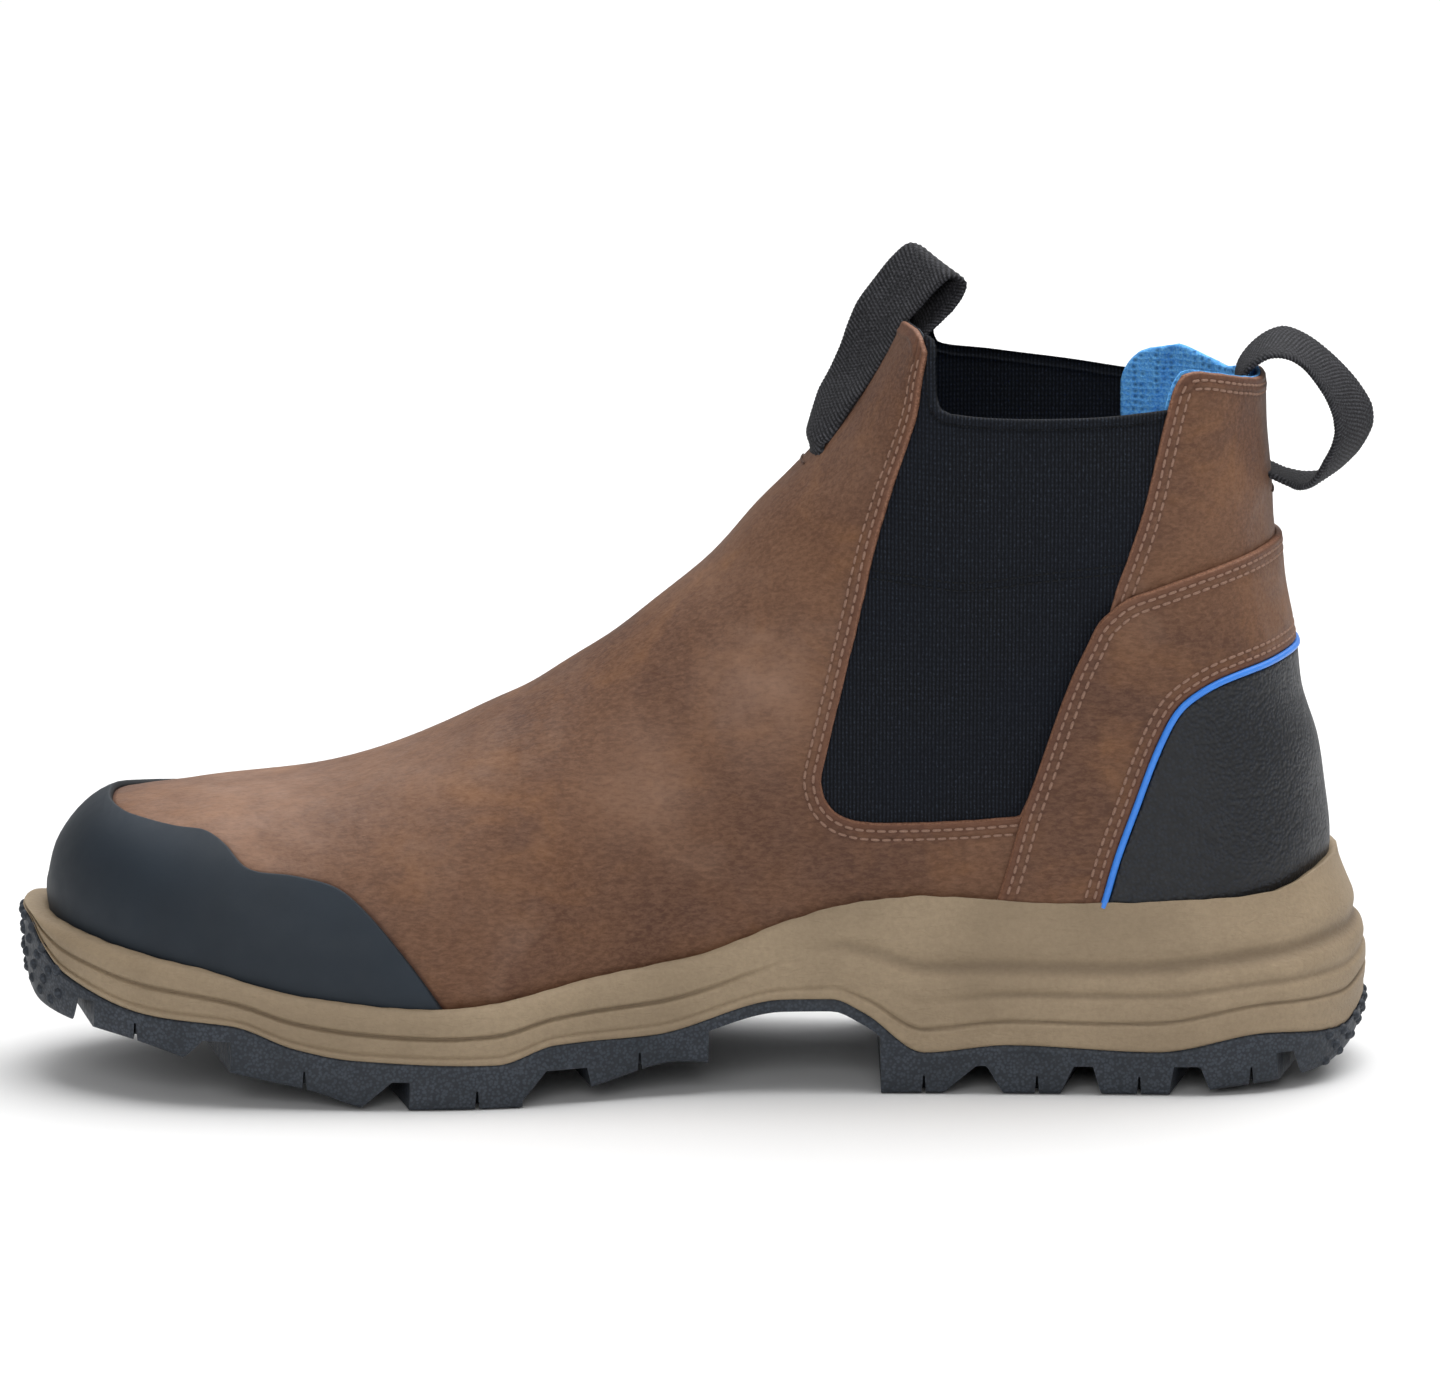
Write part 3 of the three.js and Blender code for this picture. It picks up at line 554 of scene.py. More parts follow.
def fold_depth(points):
    """The leather's soft folds, negative in their troughs."""
    total = np.zeros(len(points))
    side = np.sign(points[:, 1] - lean(points[:, 0]))
    for fold in each(FOLDS):
        dx, dz = from_place(points, fold)
        turn = math.radians(fold["angle"])
        along = dx * math.cos(turn) + dz * math.sin(turn)
        across = dz * math.cos(turn) - dx * math.sin(turn) + FOLD_BEND * along**2
        wave = bell(across, fold["wide"]) * (1 - FOLD_RIM * (across / fold["wide"]) ** 2)
        shown = ease(side * fold["side"], -1, 1) if fold["side"] else 1
        total -= fold["deep"] * wave * bell(along, fold["long"]) * shown
    return total


def worn_at(points):
    """How light the leather is worn, from 0 to 1."""
    total = np.zeros(len(points))
    for spot in each(WORN):
        far = np.hypot(*from_place(points, spot))
        total = np.maximum(total, spot["much"] * bell(far, spot["wide"]))
    return total


def waviness(points, size, seed):
    """Smooth noise from -1 to 1 with bumps of about a size in mm."""
    shift = Vector((seed, 2 * seed, 3 * seed))
    return np.array([noise.noise(Vector(p) / size + shift) for p in points])


def make_last():
    """The outer surface of the upper."""
    at = even_rows()
    grids = {side: last_points(at, even_shares(at, side), side) for side in (-1, 1)}
    points = np.concatenate([grids[-1][:, ::-1], grids[1][:, 1:]], 1)
    index = numbered(*points.shape[:2])
    behind = at >= HEEL_ROW
    index[behind, -1] = index[behind, 0]
    points = points.reshape(-1, 3)
    faces = grid_faces(index)
    return Skin(faces, at=points, out=vertex_normals(points, faces))


last = make_last()
FAR = BALL_WIDTH
AHEAD, BEHIND, NEAR_BEHIND = -0.2 * LENGTH, 1.2 * LENGTH, 1.1 * LENGTH
ROOF = 2 * COLLAR_HEIGHT


def to_edge(*lines):
    """Distance from the last's points to an outline made of lines, positive inside it."""
    outline = np.concatenate([np.asarray(line, float) for line in lines])
    return region(last["at"], last["out"], outline)


def under_line(rows, x):
    """Distance to the outline between a table's line and the floor, as far as a place x."""
    line = side_curve(rows)
    return to_edge(line, [[line[-1, 0], -FAR], [x, -FAR], [x, line[0, 1]]])


last["window"] = -to_edge(side_curve(GORE_FRONT), side_curve(QUARTER_FRONT))
last["collar"] = to_edge(side_curve(COLLAR), [[BEHIND, -FAR], [AHEAD, -FAR]])
last["cap"] = under_line(TOE_CAP_RIM, AHEAD)
last["surround"] = under_line(SURROUND, NEAR_BEHIND)
last["counter"] = under_line(PIPING, NEAR_BEHIND)
for side, rows in GORE_TOPS.items():
    front = 0.5 * LENGTH
    below = [[0.9 * LENGTH, -FAR], [front, -FAR], [front, height(2.99)]]
    last[f"gore_top{side}"] = to_edge(side_curve(rows), below)
last["seam"] = to_edge(side_curve(GORE_SEAM), [[0.86 * LENGTH, ROOF], [0.55 * LENGTH, ROOF]])
length_share = last["at"][:, 0] / LENGTH
last["sole"] = last["at"][:, 2] - top_edge_z(last["at"][:, 0])
last["folds"] = fold_depth(last["at"]) + UNEVEN * waviness(last["at"], 26, 4.0)
last["side"] = last["at"][:, 1] - lean(last["at"][:, 0])
ragged = RAGGED * waviness(last["at"], 2.6, 9.0)
lateral_drop = LATERAL_DROP * ease(last["side"], 4, 22) * ease(length_share, *QUARTER_START)
last["collar"] += ragged - lateral_drop * (1 - ease(length_share, *BACK_START))
last["window"] += ragged


# Meshes to objects
def closed_shell(faces, outer, inner):
    """A closed mesh between two layers that share their triangles."""
    count = len(outer)
    edges = np.concatenate([faces[:, [0, 1]], faces[:, [1, 2]], faces[:, [2, 0]]])
    key = edges[:, 0].astype(np.int64) * count + edges[:, 1]
    back = edges[:, 1].astype(np.int64) * count + edges[:, 0]
    i, j = edges[~np.isin(key, back)].T
    walls = [np.stack([j, i, i + count], 1), np.stack([j, i + count, j + count], 1)]
    return np.concatenate([outer, inner]), np.concatenate([faces, faces[:, ::-1] + count, *walls])


def merged(meshes):
    """Several meshes as one."""
    points, faces, start = [], [], 0
    for p, f in meshes:
        points.append(p)
        faces.append(np.asarray(f) + start)
        start += len(p)
    return np.concatenate(points), np.concatenate(faces)


def new_object(name, data):
    thing = bpy.data.objects.new(name, data)
    bpy.context.scene.collection.objects.link(thing)
    return thing


def add_piece(name, mesh, slot, material, replaced=None, values=None, smooth=True):
    """Points in the boot's own millimetres and triangles become a piece on the root body."""
    points, faces = mesh
    data = bpy.data.meshes.new(name)
    data.vertices.add(len(points))
    data.vertices.foreach_set("co", to_frame(points).astype(np.float32).ravel())
    data.loops.add(faces.size)
    data.loops.foreach_set("vertex_index", faces.astype(np.int32).ravel())
    data.polygons.add(len(faces))
    data.polygons.foreach_set("loop_start", np.arange(0, faces.size, 3, dtype=np.int32))
    data.polygons.foreach_set("use_smooth", np.full(len(faces), smooth))
    data.update(calc_edges=True)
    for key, value in (values or {}).items():
        attribute = data.attributes.new(key, "FLOAT", "POINT")
        attribute.data.foreach_set("value", np.asarray(value, np.float32))
    data.validate()
    data.materials.append(material)
    piece = new_object(name, data)
    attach(piece, "root")
    if replaced:
        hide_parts(replaced)
    return piece


def add_shell(name, skin, outer, inner, slot, material, replaced=None, **values):
    """A closed piece between two heights off a skin. Also gives the points of its face."""
    face = skin.lifted(outer)
    mesh = closed_shell(skin.faces, face, skin.lifted(inner))
    both = {key: np.tile(value, 2) for key, value in values.items()}
    return add_piece(name, mesh, slot, material, replaced, both), face


# Lines on a skin
def contour(skin, points, name, level, keep):
    """Chains of points and normals along a level of a value, where keep is above 0."""
    v = skin[name] - level
    v = np.where(np.abs(v) < 1e-6, 1e-6, v)
    above = v > 0
    count = above[skin.faces].sum(1)
    face = skin.faces[(count == 1) | (count == 2)]
    face = face[keep[face].min(1) > 0]
    pairs = np.sort(np.stack([face, np.roll(face, -1, axis=1)], -1), -1)
    pairs = pairs[above[pairs[..., 0]] != above[pairs[..., 1]]]
    ends, where = np.unique(pairs, axis=0, return_inverse=True)
    a, b = ends.T
    t = (v[a] / (v[a] - v[b]))[:, None]
    places = [values[a] * (1 - t) + values[b] * t for values in (points, skin["out"])]
    neighbours = {}
    for p, q in where.reshape(-1, 2).tolist():
        neighbours.setdefault(p, []).append(q)
        neighbours.setdefault(q, []).append(p)
    chains = []
    left = set(neighbours)
    for start in sorted(neighbours, key=lambda k: (len(neighbours[k]) > 1, k)):
        chain = [start] if start in left else []
        left.discard(start)
        while chain and (step := [k for k in neighbours[chain[-1]] if k in left]):
            chain.append(step[0])
            left.discard(step[0])
        if len(chain) > 3:
            chains.append([values[chain] for values in places])
    return chains


def resample(path, ways, step):
    """Points and unit normals at equal steps along a chain."""
    run = run_along(path)
    at = np.linspace(0, run[-1], max(int(round(run[-1] / step)), 2) + 1)
    return read_off(at, run, path), unit(read_off(at, run, ways))


STITCH_RINGS = [(-1, 0.25), (-0.86, 0.75), (-0.45, 1), (0.45, 1), (0.86, 0.75), (1, 0.25)]
STITCH_FLAT = 0.8


def thread_run(chains, pitch, long, radius, lift, sides=6):
    """Rows of stitches along chains: each a rounded length of thread, a little sunk."""
    turn = np.arange(sides) * 2 * math.pi / sides
    stitch = np.array([
        [a * long / 2, r * radius * math.cos(t), r * radius * math.sin(t) * STITCH_FLAT]
        for a, r in STITCH_RINGS for t in turn
    ])
    faces = tube_faces(len(STITCH_RINGS), sides)
    meshes = []
    for path, ways in chains:
        even, way = resample(path, ways, pitch)
        along = unit(np.diff(even, axis=0))
        across = unit(np.cross(way[1:] + way[:-1], along))
        up = np.cross(along, across)
        middle = (even[1:] + even[:-1]) / 2 + up * lift
        points = middle[:, None] + np.einsum("vk,nkd->nvd", stitch, np.stack([along, across, up], 1))
        starts = np.arange(len(middle)) * len(stitch)
        meshes.append((points.reshape(-1, 3), (faces + starts[:, None, None]).reshape(-1, 3)))
    return merged(meshes)


def tube(path, ways, radius, sides=12):
    """A round cord along a chain, with closed ends."""
    along = unit(np.gradient(path, axis=0))
    across = unit(np.cross(ways, along))[:, None]
    turn = (np.arange(sides) * 2 * math.pi / sides)[None, :, None]
    ring = np.cos(turn) * across + np.sin(turn) * np.cross(along[:, None], across)
    return (path[:, None] + radius * ring).reshape(-1, 3), tube_faces(len(path), sides)


# Sole
def welt_line(steps):
    """The last's plan at the top of the sole, round from the toe along the medial side."""
    z = float(height(WELT_LEVEL))
    shares = (1 - np.cos(math.pi * np.linspace(0, 1, steps + 1))) / 2
    x = TOE_END + (float(back_x(z)) - TOE_END) * shares
    sides = {}
    for side in (-1, 1):
        half = breadth(x, z, side)
        half[[0, -1]] = 0
        sides[side] = np.stack([x, lean(x) + side * half], 1)
    fine = np.concatenate([sides[-1], sides[1][-2::-1]])
    run = run_along(fine)
    line = read_off(np.linspace(0, run[-1], 2 * steps + 1)[:-1], run, fine)
    along = unit(np.roll(line, -1, axis=0) - np.roll(line, 1, axis=0))
    return line, np.stack([along[:, 1], -along[:, 0]], 1)


WELT_STEPS = 300
welt, welt_out = welt_line(WELT_STEPS)
reach_out = HEEL_HEIGHT * flare_share(welt[:, 0] / LENGTH)
sole_edge = welt + welt_out * reach_out[:, None]
heel_part = ease(welt[:, 0] / LENGTH, FORE_END, HEEL_START)

sole_low, sole_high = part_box("outsole")
sole_middle = (sole_edge.max(0) + sole_edge.min(0)) / 2
frame_middle = 500 * (sole_low + sole_high)
ORIGIN = np.array([sole_middle[0] - frame_middle.x, sole_middle[1] - frame_middle.y, 0])


def to_frame(points):
    """From the last's millimetres to the frame's metres."""
    return (points - ORIGIN) / 1000


# Side of the midsole: how far in it lies at each share of its height
MIDSOLE_SIDE = table(["share", "fore", "heel"], [
    [0, 0.12, 0.1],
    [0.03, 0.0, 0.0],
    [0.09, -0.03, 0.0],
    [0.125, 0.07, -0.04],
    [0.2, 0.07, -0.07],
    [0.33, 0.06, -0.06],
    [0.45, 0.09, 0.03],
    [0.52, 0.06, 0.1],
    [0.6, 0.06, 0.25],
    [0.7, 0.09, 0.4],
    [0.8, 0.18, 0.62],
    [0.88, 0.32, 0.8],
    [0.94, 0.5, 0.92],
    [0.975, 0.72, 0.97],
    [1, 1.0, 1.0],
])
OUTSOLE_SIDE = table(["share", "fore", "heel"], [
    [0, 0.3, 0.26], [0.06, 0.16, 0.14], [0.3, 0.06, 0.05], [0.8, 0.0, 0.0], [0.93, -0.02, -0.02],
    [1, 0.1, 0.09],
])

# Grooves of the midsole's side: share of the height at each place along it
GROOVES = {
    "waist": table(["x", "share", "deep"], [
        [0.0, 0.5, 0.5], [0.08, 0.5, 0.9], [0.3, 0.48, 1.0], [0.45, 0.47, 1.0],
        [0.53, 0.46, 0.6], [0.57, 0.48, 0.1], [0.6, 0.5, 0],
    ]),
    "trough": table(["x", "share", "deep"], [
        [0.5, 0.66, 0], [0.56, 0.64, 0.2], [0.62, 0.57, 0.8], [0.7, 0.545, 1],
        [0.8, 0.56, 1], [0.9, 0.58, 1.1], [1.0, 0.58, 1.2],
    ]),
    "crease": table(["x", "share", "deep"], [
        [0.62, 0.3, 0], [0.68, 0.33, 0.5], [0.74, 0.36, 1], [0.84, 0.38, 1],
        [0.92, 0.37, 1], [1.0, 0.37, 0.8],
    ]),
    "cut": table(["x", "share", "deep"], [
        [0.6, 0.13, 0.4], [0.66, 0.15, 1], [0.78, 0.18, 1], [0.88, 0.21, 1],
        [0.94, 0.22, 1], [1.0, 0.22, 0.8],
    ]),
}
GROOVE_SHAPES = {"waist": (0.5, 1.0), "trough": (2.3, 1.0), "crease": (1.1, 0.8), "cut": (0.42, 1.0)}


def groove_depth(x, share, tall):
    """Depth in mm of the grooves at places on the side, given the side's height there."""
    total = np.zeros(np.broadcast(x, share).shape)
    for name, rows in GROOVES.items():
        wide, deep = GROOVE_SHAPES[name]
        line, amount = (through(rows, "x", column)(x / LENGTH) for column in ("share", "deep"))
        total += amount * deep * bell((share - line) * tall, wide)
    return total


def side_depth(rows):
    """How far in a side lies, as a share of the flare, as a function of the height share."""
    fore, heel = (through(rows, "share", part) for part in ("fore", "heel"))
    return lambda share: fore(share) * (1 - heel_part) + heel(share) * heel_part


midsole_side = side_depth(MIDSOLE_SIDE)
outsole_side = side_depth(OUTSOLE_SIDE)


def side_ring(shares, depth_of, low_z, high_z):
    """Rows of points up the sole's side. depth_of gives mm inwards from the sole's edge."""
    rows = []
    for share in shares:
        at = welt + welt_out * (reach_out - depth_of(share))[:, None]
        low, high = low_z(at[:, 0]), high_z(at[:, 0])
        rows.append(np.column_stack([at, low + (high - low) * share]))
    return rows


MIDSOLE_INSET = 0.62


def midsole_depth(share):
    x = welt[:, 0]
    grooves = groove_depth(x, np.full_like(x, share), top_edge_z(x) - joint_z(x))
    return MIDSOLE_INSET * midsole_side(share) * reach_out + grooves


# The midsole's rim: shares of the flare inwards and mm down
TOP_LIP = [(0.75, 0.15), (1.0, 0.5), (1.35, 1.4), (2.0, 3.0)]
BED_INSET = 9.0
BED_RISES = (4, 0.6)
LIP_WOBBLE = 0.3
GROOVE_SHADE_START = 0.35


def make_midsole():
    fine = np.unique(np.concatenate([np.linspace(0, 1, 75), np.linspace(0.94, 1, 12)]))
    rows = side_ring(fine, midsole_depth, joint_z, top_edge_z)
    for inward, drop in TOP_LIP:
        at = welt + welt_out * (reach_out * (1 - inward))[:, None]
        rows.append(np.column_stack([at, top_edge_z(at[:, 0]) - drop]))
    for rise in BED_RISES:
        rows.append(np.column_stack([welt - welt_out * BED_INSET, joint_z(welt[:, 0]) + rise]))
    points = np.array(rows)
    lip = np.concatenate([ease(fine, 0.985, 1), np.ones(len(TOP_LIP)), [0, 0]])
    wobble = waviness(points[len(fine) - 1] * [1, 1, 0], 4.5, 3.0)
    points[..., 2] += LIP_WOBBLE * lip[:, None] * wobble
    index = around(numbered(*points.shape[:2]))
    faces = grid_faces(np.concatenate([index, index[:1]]).T)
    points = points.reshape(-1, 3)
    x, low = points[:, 0], joint_z(points[:, 0])
    tall = top_edge_z(x) - low
    share = np.clip((points[:, 2] - low) / np.maximum(tall, 1), 0, 1)
    # Painted shade in the deeper grooves of the side
    painted_groove_shade = np.clip(groove_depth(x, share, tall) - GROOVE_SHADE_START, 0, 1)
    add_piece("midsole_body", (points, faces), "midsole_foam", midsole_material(), "midsole",
              {"groove_shade": painted_groove_shade})


JOINT_GAP = 0.05
SOLE_LEVELS = [0, 0.03, 0.07, 0.2, 0.5, 0.8, 0.9, 0.96, 1.0]


def under_joint(x):
    return joint_z(x) - JOINT_GAP


def channel_top(x):
    return np.minimum(tread_z(x) + TREAD_DEPTH, under_joint(x) - ARCH_BAND)


def sole_block():
    """The outsole before its channels are cut."""
    rows = side_ring(SOLE_LEVELS, lambda share: outsole_side(share) * reach_out, tread_z, under_joint)
    index = numbered(len(rows), len(welt))
    bottom, top = across_ring(index[0], 1)[:, ::-1], across_ring(index[-1], 1)
    return np.concatenate(rows), np.concatenate([grid_faces(around(index).T), bottom, top])


# Channels across the tread as they cut the sole's edge, like the source's
CHANNELS = table(["front", "back", "front_facet", "back_facet", "turn"], [
    [0.0455, 0.0552, 0.02, 0, 12],
    [0.1403, 0.1597, 0.127, 0, 14],
    [0.2782, 0.2909, 0.162, 0, 12],
    [0.3896, 0.4208, 0.122, 0.036, 10],
    [0.7055, 0.713, 0.171, 0.082, -8],
    [0.7769, 0.7909, 0.071, 0.04, -10],
    [0.8503, 0.8695, 0.027, 0.051, -12],
    [0.9295, 0.9399, 0, 0.031, -14],
])
SIPES = [0.0893, 0.214, 0.34, 0.4585, 0.667, 0.75, 0.825, 0.9075]
ARCH = (0.503, 0.641)
ARCH_SLOPE = 0.006
CENTRE_SPAN = (0.12, 0.96)


def arch_top(x):
    return under_joint(x) - ARCH_BAND


def prism(outline, y0, y1):
    """A side view outline, anticlockwise, swept from y0 to y1."""
    n = len(outline)
    points = np.array([(x, y, z) for y in (y0, y1) for x, z in outline], float)
    faces = [[k, n + (k + 1) % n, (k + 1) % n] for k in range(n)]
    faces += [[k, n + k, n + (k + 1) % n] for k in range(n)]
    return points, np.concatenate([faces, fan(np.arange(n)), fan(np.arange(n) + n)[:, ::-1]])


def sole_half(x, side):
    """Half width of the sole on one side."""
    flare = HEEL_HEIGHT * flare_share(x / LENGTH)
    return float(side * lean(x) + breadth(x, height(WELT_LEVEL), side) + flare)


def turned(mesh, degrees, x, y):
    """A mesh turned about the upright axis and moved."""
    points, faces = mesh
    c, s = math.cos(math.radians(degrees)), math.sin(math.radians(degrees))
    return points @ np.array([[c, s, 0], [-s, c, 0], [0, 0, 1]]) + [x, y, 0], faces


def on_side(side, near, away):
    """The ends of a sweep between two distances from the middle, on one side."""
    return (near, away) if side > 0 else (-away, -near)


def channel_block(row, side):
    """One side's half of a channel, turned about the place where it cuts the edge."""
    front, back = LENGTH * row["front"], LENGTH * row["back"]
    middle = (front + back) / 2
    wide_front = front - HEEL_HEIGHT * row["front_facet"]
    wide_back = back + HEEL_HEIGHT * row["back_facet"]
    top, low = float(channel_top(middle)), float(tread_z(middle))
    outline = [
        (wide_front, -FAR), (wide_back, -FAR), (wide_back, low), (back, top), (front, top),
        (wide_front, low),
    ]
    edge = sole_half(middle, side)
    inner = edge / math.cos(math.radians(row["turn"])) + 1
    mesh = prism([(x - middle, z) for x, z in outline], *on_side(side, -inner, FAR))
    return turned(mesh, -side * row["turn"], middle, side * edge)


SIPE_HEIGHT = 4.2
SIPE_FOOT = 0.6
SIPE_MOUTH = 0.5
SIPE_TIP = 0.2
SIPE_INSIDE = 7
SIPE_OUTSIDE = 6


def sipe_block(share, side):
    """A thin cut up the outer face of a lug, widest below."""
    x = LENGTH * share
    low = float(tread_z(x))
    top = low + SIPE_HEIGHT
    outline = [
        (x - SIPE_FOOT, -FAR), (x + SIPE_FOOT, -FAR), (x + SIPE_MOUTH, low), (x + SIPE_TIP, top),
        (x - SIPE_TIP, top), (x - SIPE_MOUTH, low),
    ]
    edge = sole_half(x, side)
    return prism(outline, *on_side(side, edge - SIPE_INSIDE, edge + SIPE_OUTSIDE))


def lengthwise_block(back, front, top_of, half, steps=21, slope=0):
    """A cut along the sole between two shares of the length, up to a line."""
    x = LENGTH * np.linspace(back - slope, front + slope, steps)
    corners = [(LENGTH * front, -FAR), (LENGTH * back, -FAR)]
    return prism(corners + list(zip(x, top_of(x))), -half, half)


KNOB_RINGS = [(1.0, -0.5), (1.0, 0.0), (0.86, 0.45), (0.6, 0.78), (0.3, 0.95)]
STUD_RADIUS = 1.35
STUD_HEIGHT = 1.25
STUD_PITCH = 5.6
STUD_REACH = 27
STUD_LEVELS = {0: (0.2, 0.45, 0.7, 0.93), WELT_STEPS: (0.14, 0.5, 0.86)}
# How far in the studs stand at each share of the outsole's height, in mm
STUD_INSET = table(["share", "inward"], [[-1, 3.6], [0, 1.9], [0.3, 0.6], [1, 0.1]])


def stud(sides=10):
    """A small rounded knob standing on z = 0, its foot a little sunk."""
    turn = np.arange(sides) * 2 * math.pi / sides
    points = [
        [r * STUD_RADIUS * math.cos(t), r * STUD_RADIUS * math.sin(t), z * STUD_HEIGHT]
        for r, z in KNOB_RINGS for t in turn
    ]
    index = numbered(len(KNOB_RINGS), sides)
    tip = [[index[-1, k], index[-1, (k + 1) % sides], len(points)] for k in range(sides)]
    faces = [grid_faces(around(index))[:, ::-1], fan(index[0])[:, ::-1], tip]
    return np.array(points + [[0, 0, STUD_HEIGHT]]), np.concatenate(faces)


def make_studs():
    """Knobs on the outsole's wrap at the toe and at the heel."""
    knob, faces = stud()
    step = np.linalg.norm(sole_edge[1] - sole_edge[0])
    meshes = []
    for tip, levels in STUD_LEVELS.items():
        for row, share in enumerate(levels):
            inward = float(np.interp(share, STUD_INSET["share"], STUD_INSET["inward"]))
            for offset in np.arange(-STUD_REACH, STUD_REACH + 0.1, STUD_PITCH):
                offset += (row % 2) * STUD_PITCH / 2
                i = int(round(tip + offset / step)) % len(sole_edge)
                x, y = sole_edge[i]
                z = float(tread_z(x) + (under_joint(x) - tread_z(x)) * share)
                away = np.array([*welt_out[i], 0.0])
                along = np.array([-away[1], away[0], 0])
                axes = np.array([along, np.cross(away, along), away])
                meshes.append((knob @ axes + [x, y, z] - away * inward, faces))
    return merged(meshes)


def temp_object(mesh):
    points, faces = mesh
    data = bpy.data.meshes.new("block")
    data.from_pydata((points / 1000).tolist(), [], faces.tolist())
    return new_object("block", data)


def cut_away(mesh, cutters):
    """The solid less each cutter in turn, as points and triangles."""
    body = temp_object(mesh)
    tools = [temp_object(cutter) for cutter in cutters]
    for tool in tools:
        change = body.modifiers.new("cut", "BOOLEAN")
        change.operation = "DIFFERENCE"
        change.solver = "MANIFOLD"
        change.object = tool
    body.modifiers.new("triangles", "TRIANGULATE")
    result = body.evaluated_get(bpy.context.evaluated_depsgraph_get())
    data = result.to_mesh()
    points = np.empty(len(data.vertices) * 3)
    data.vertices.foreach_get("co", points)
    faces = np.empty(len(data.polygons) * 3, np.int32)
    data.polygons.foreach_get("vertices", faces)
    result.to_mesh_clear()
    for old in [thing.data for thing in (body, *tools)]:
        bpy.data.meshes.remove(old)
    return points.reshape(-1, 3) * 1000, faces.reshape(-1, 3)


def make_outsole():
    cutters = [lengthwise_block(ARCH[1], ARCH[0], arch_top, FAR, 25, ARCH_SLOPE)]
    for side in (-1, 1):
        cutters.append(merged([channel_block(row, side) for row in each(CHANNELS)]))
        cutters.append(merged([sipe_block(share, side) for share in SIPES]))
    half = CENTRE_CHANNEL / 2
    cutters.append(merged([
        lengthwise_block(ARCH[0], CENTRE_SPAN[0], channel_top, half),
        lengthwise_block(CENTRE_SPAN[1], ARCH[1], channel_top, half),
    ]))
    rubber = outsole_material()
    body = cut_away(sole_block(), cutters)
    add_piece("outsole_body", body, "outsole_rubber", rubber, "outsole", smooth=False)
    add_piece("sole_studs", make_studs(), "outsole_rubber", rubber)


# Materials
def srgb(red, green, blue):
    """A colour from its display values, 0 to 255."""
    def linear(v):
        v /= 255
        return v / 12.92 if v <= 0.04045 else ((v + 0.055) / 1.055) ** 2.4
    return (linear(red), linear(green), linear(blue), 1)


WAVE_BANDS = 3.183


class Nodes:
    """Builds a material's nodes, and keeps its colour and relief so far."""

    def __init__(self, name, colour):
        self.material = bpy.data.materials.new(name)
        self.material.use_nodes = True
        self.tree = self.material.node_tree
        self.place = self.add("ShaderNodeTexCoord").outputs["Object"]
        self.colour = srgb(*colour)
        self.relief = {}

    def add(self, kind, inputs=None, **settings):
        node = self.tree.nodes.new(kind)
        for key, value in settings.items():
            setattr(node, key, value)
        self.feed(node, inputs or {})
        return node

    def feed(self, node, inputs):
        for key, value in inputs.items():
            if isinstance(value, bpy.types.NodeSocket):
                self.tree.links.new(value, node.inputs[key])
            else:
                node.inputs[key].default_value = value

    def scaled(self, size, stretch=(1, 1, 1)):
        """Places counted in units of a size in mm, each axis then times its stretch."""
        scale = [1000 / size * s for s in stretch]
        return self.add("ShaderNodeMapping", {"Vector": self.place, "Scale": scale}).outputs["Vector"]

    def noise(self, size, detail=3, rough=0.5, stretch=(1, 1, 1), warp=0):
        """Noise with bumps of about a size in mm."""
        inputs = {"Vector": self.scaled(size, stretch), "Scale": 1, "Detail": detail}
        inputs.update({"Roughness": rough, "Distortion": warp})
        return self.add("ShaderNodeTexNoise", inputs).outputs["Fac"]

    def cells(self, size, stretch=(1, 1, 1), random=1.0, **more):
        inputs = {"Vector": self.scaled(size, stretch), "Scale": 1, "Randomness": random}
        return self.add("ShaderNodeTexVoronoi", inputs, **more).outputs["Distance"]

    def waves(self, size, direction, warp, warp_size):
        """Bands across one direction, a size in mm apart."""
        inputs = {"Vector": self.scaled(size * WAVE_BANDS), "Scale": 1, "Distortion": warp}
        inputs["Detail Scale"] = warp_size
        return self.add("ShaderNodeTexWave", inputs, bands_direction=direction).outputs["Fac"]

    def span(self, value, low, high, to_low=0.0, to_high=1.0):
        """A value remapped between two ends and clamped."""
        inputs = {"Value": value, "From Min": low, "From Max": high, "To Min": to_low}
        inputs["To Max"] = to_high
        return self.add("ShaderNodeMapRange", inputs).outputs["Result"]

    def times(self, a, b):
        return self.add("ShaderNodeMath", {0: a, 1: b}, operation="MULTIPLY").outputs[0]

    def value(self, name):
        return self.add("ShaderNodeAttribute", attribute_name=name).outputs["Fac"]

    def mix(self, share, a, b):
        inputs = {"Factor": share, "A": a, "B": b}
        return self.add("ShaderNodeMix", inputs, data_type="RGBA").outputs["Result"]

    def paint(self, share, *colour):
        """Lays a display colour over the colour so far."""
        self.colour = self.mix(share, self.colour, srgb(*colour))

    def bump(self, value, deep, strength):
        """Adds relief whose full swing is deep mm."""
        inputs = {"Height": value, "Distance": deep / 1000, "Strength": strength, **self.relief}
        self.relief = {"Normal": self.add("ShaderNodeBump", inputs).outputs["Normal"]}

    def finish(self, rough, specular=0.5, sheen=0.0):
        inputs = {"Base Color": self.colour, "Roughness": rough, "Specular IOR Level": specular}
        inputs["Sheen Weight"] = sheen
        self.feed(self.tree.nodes["Principled BSDF"], {**inputs, **self.relief})
        return self.material


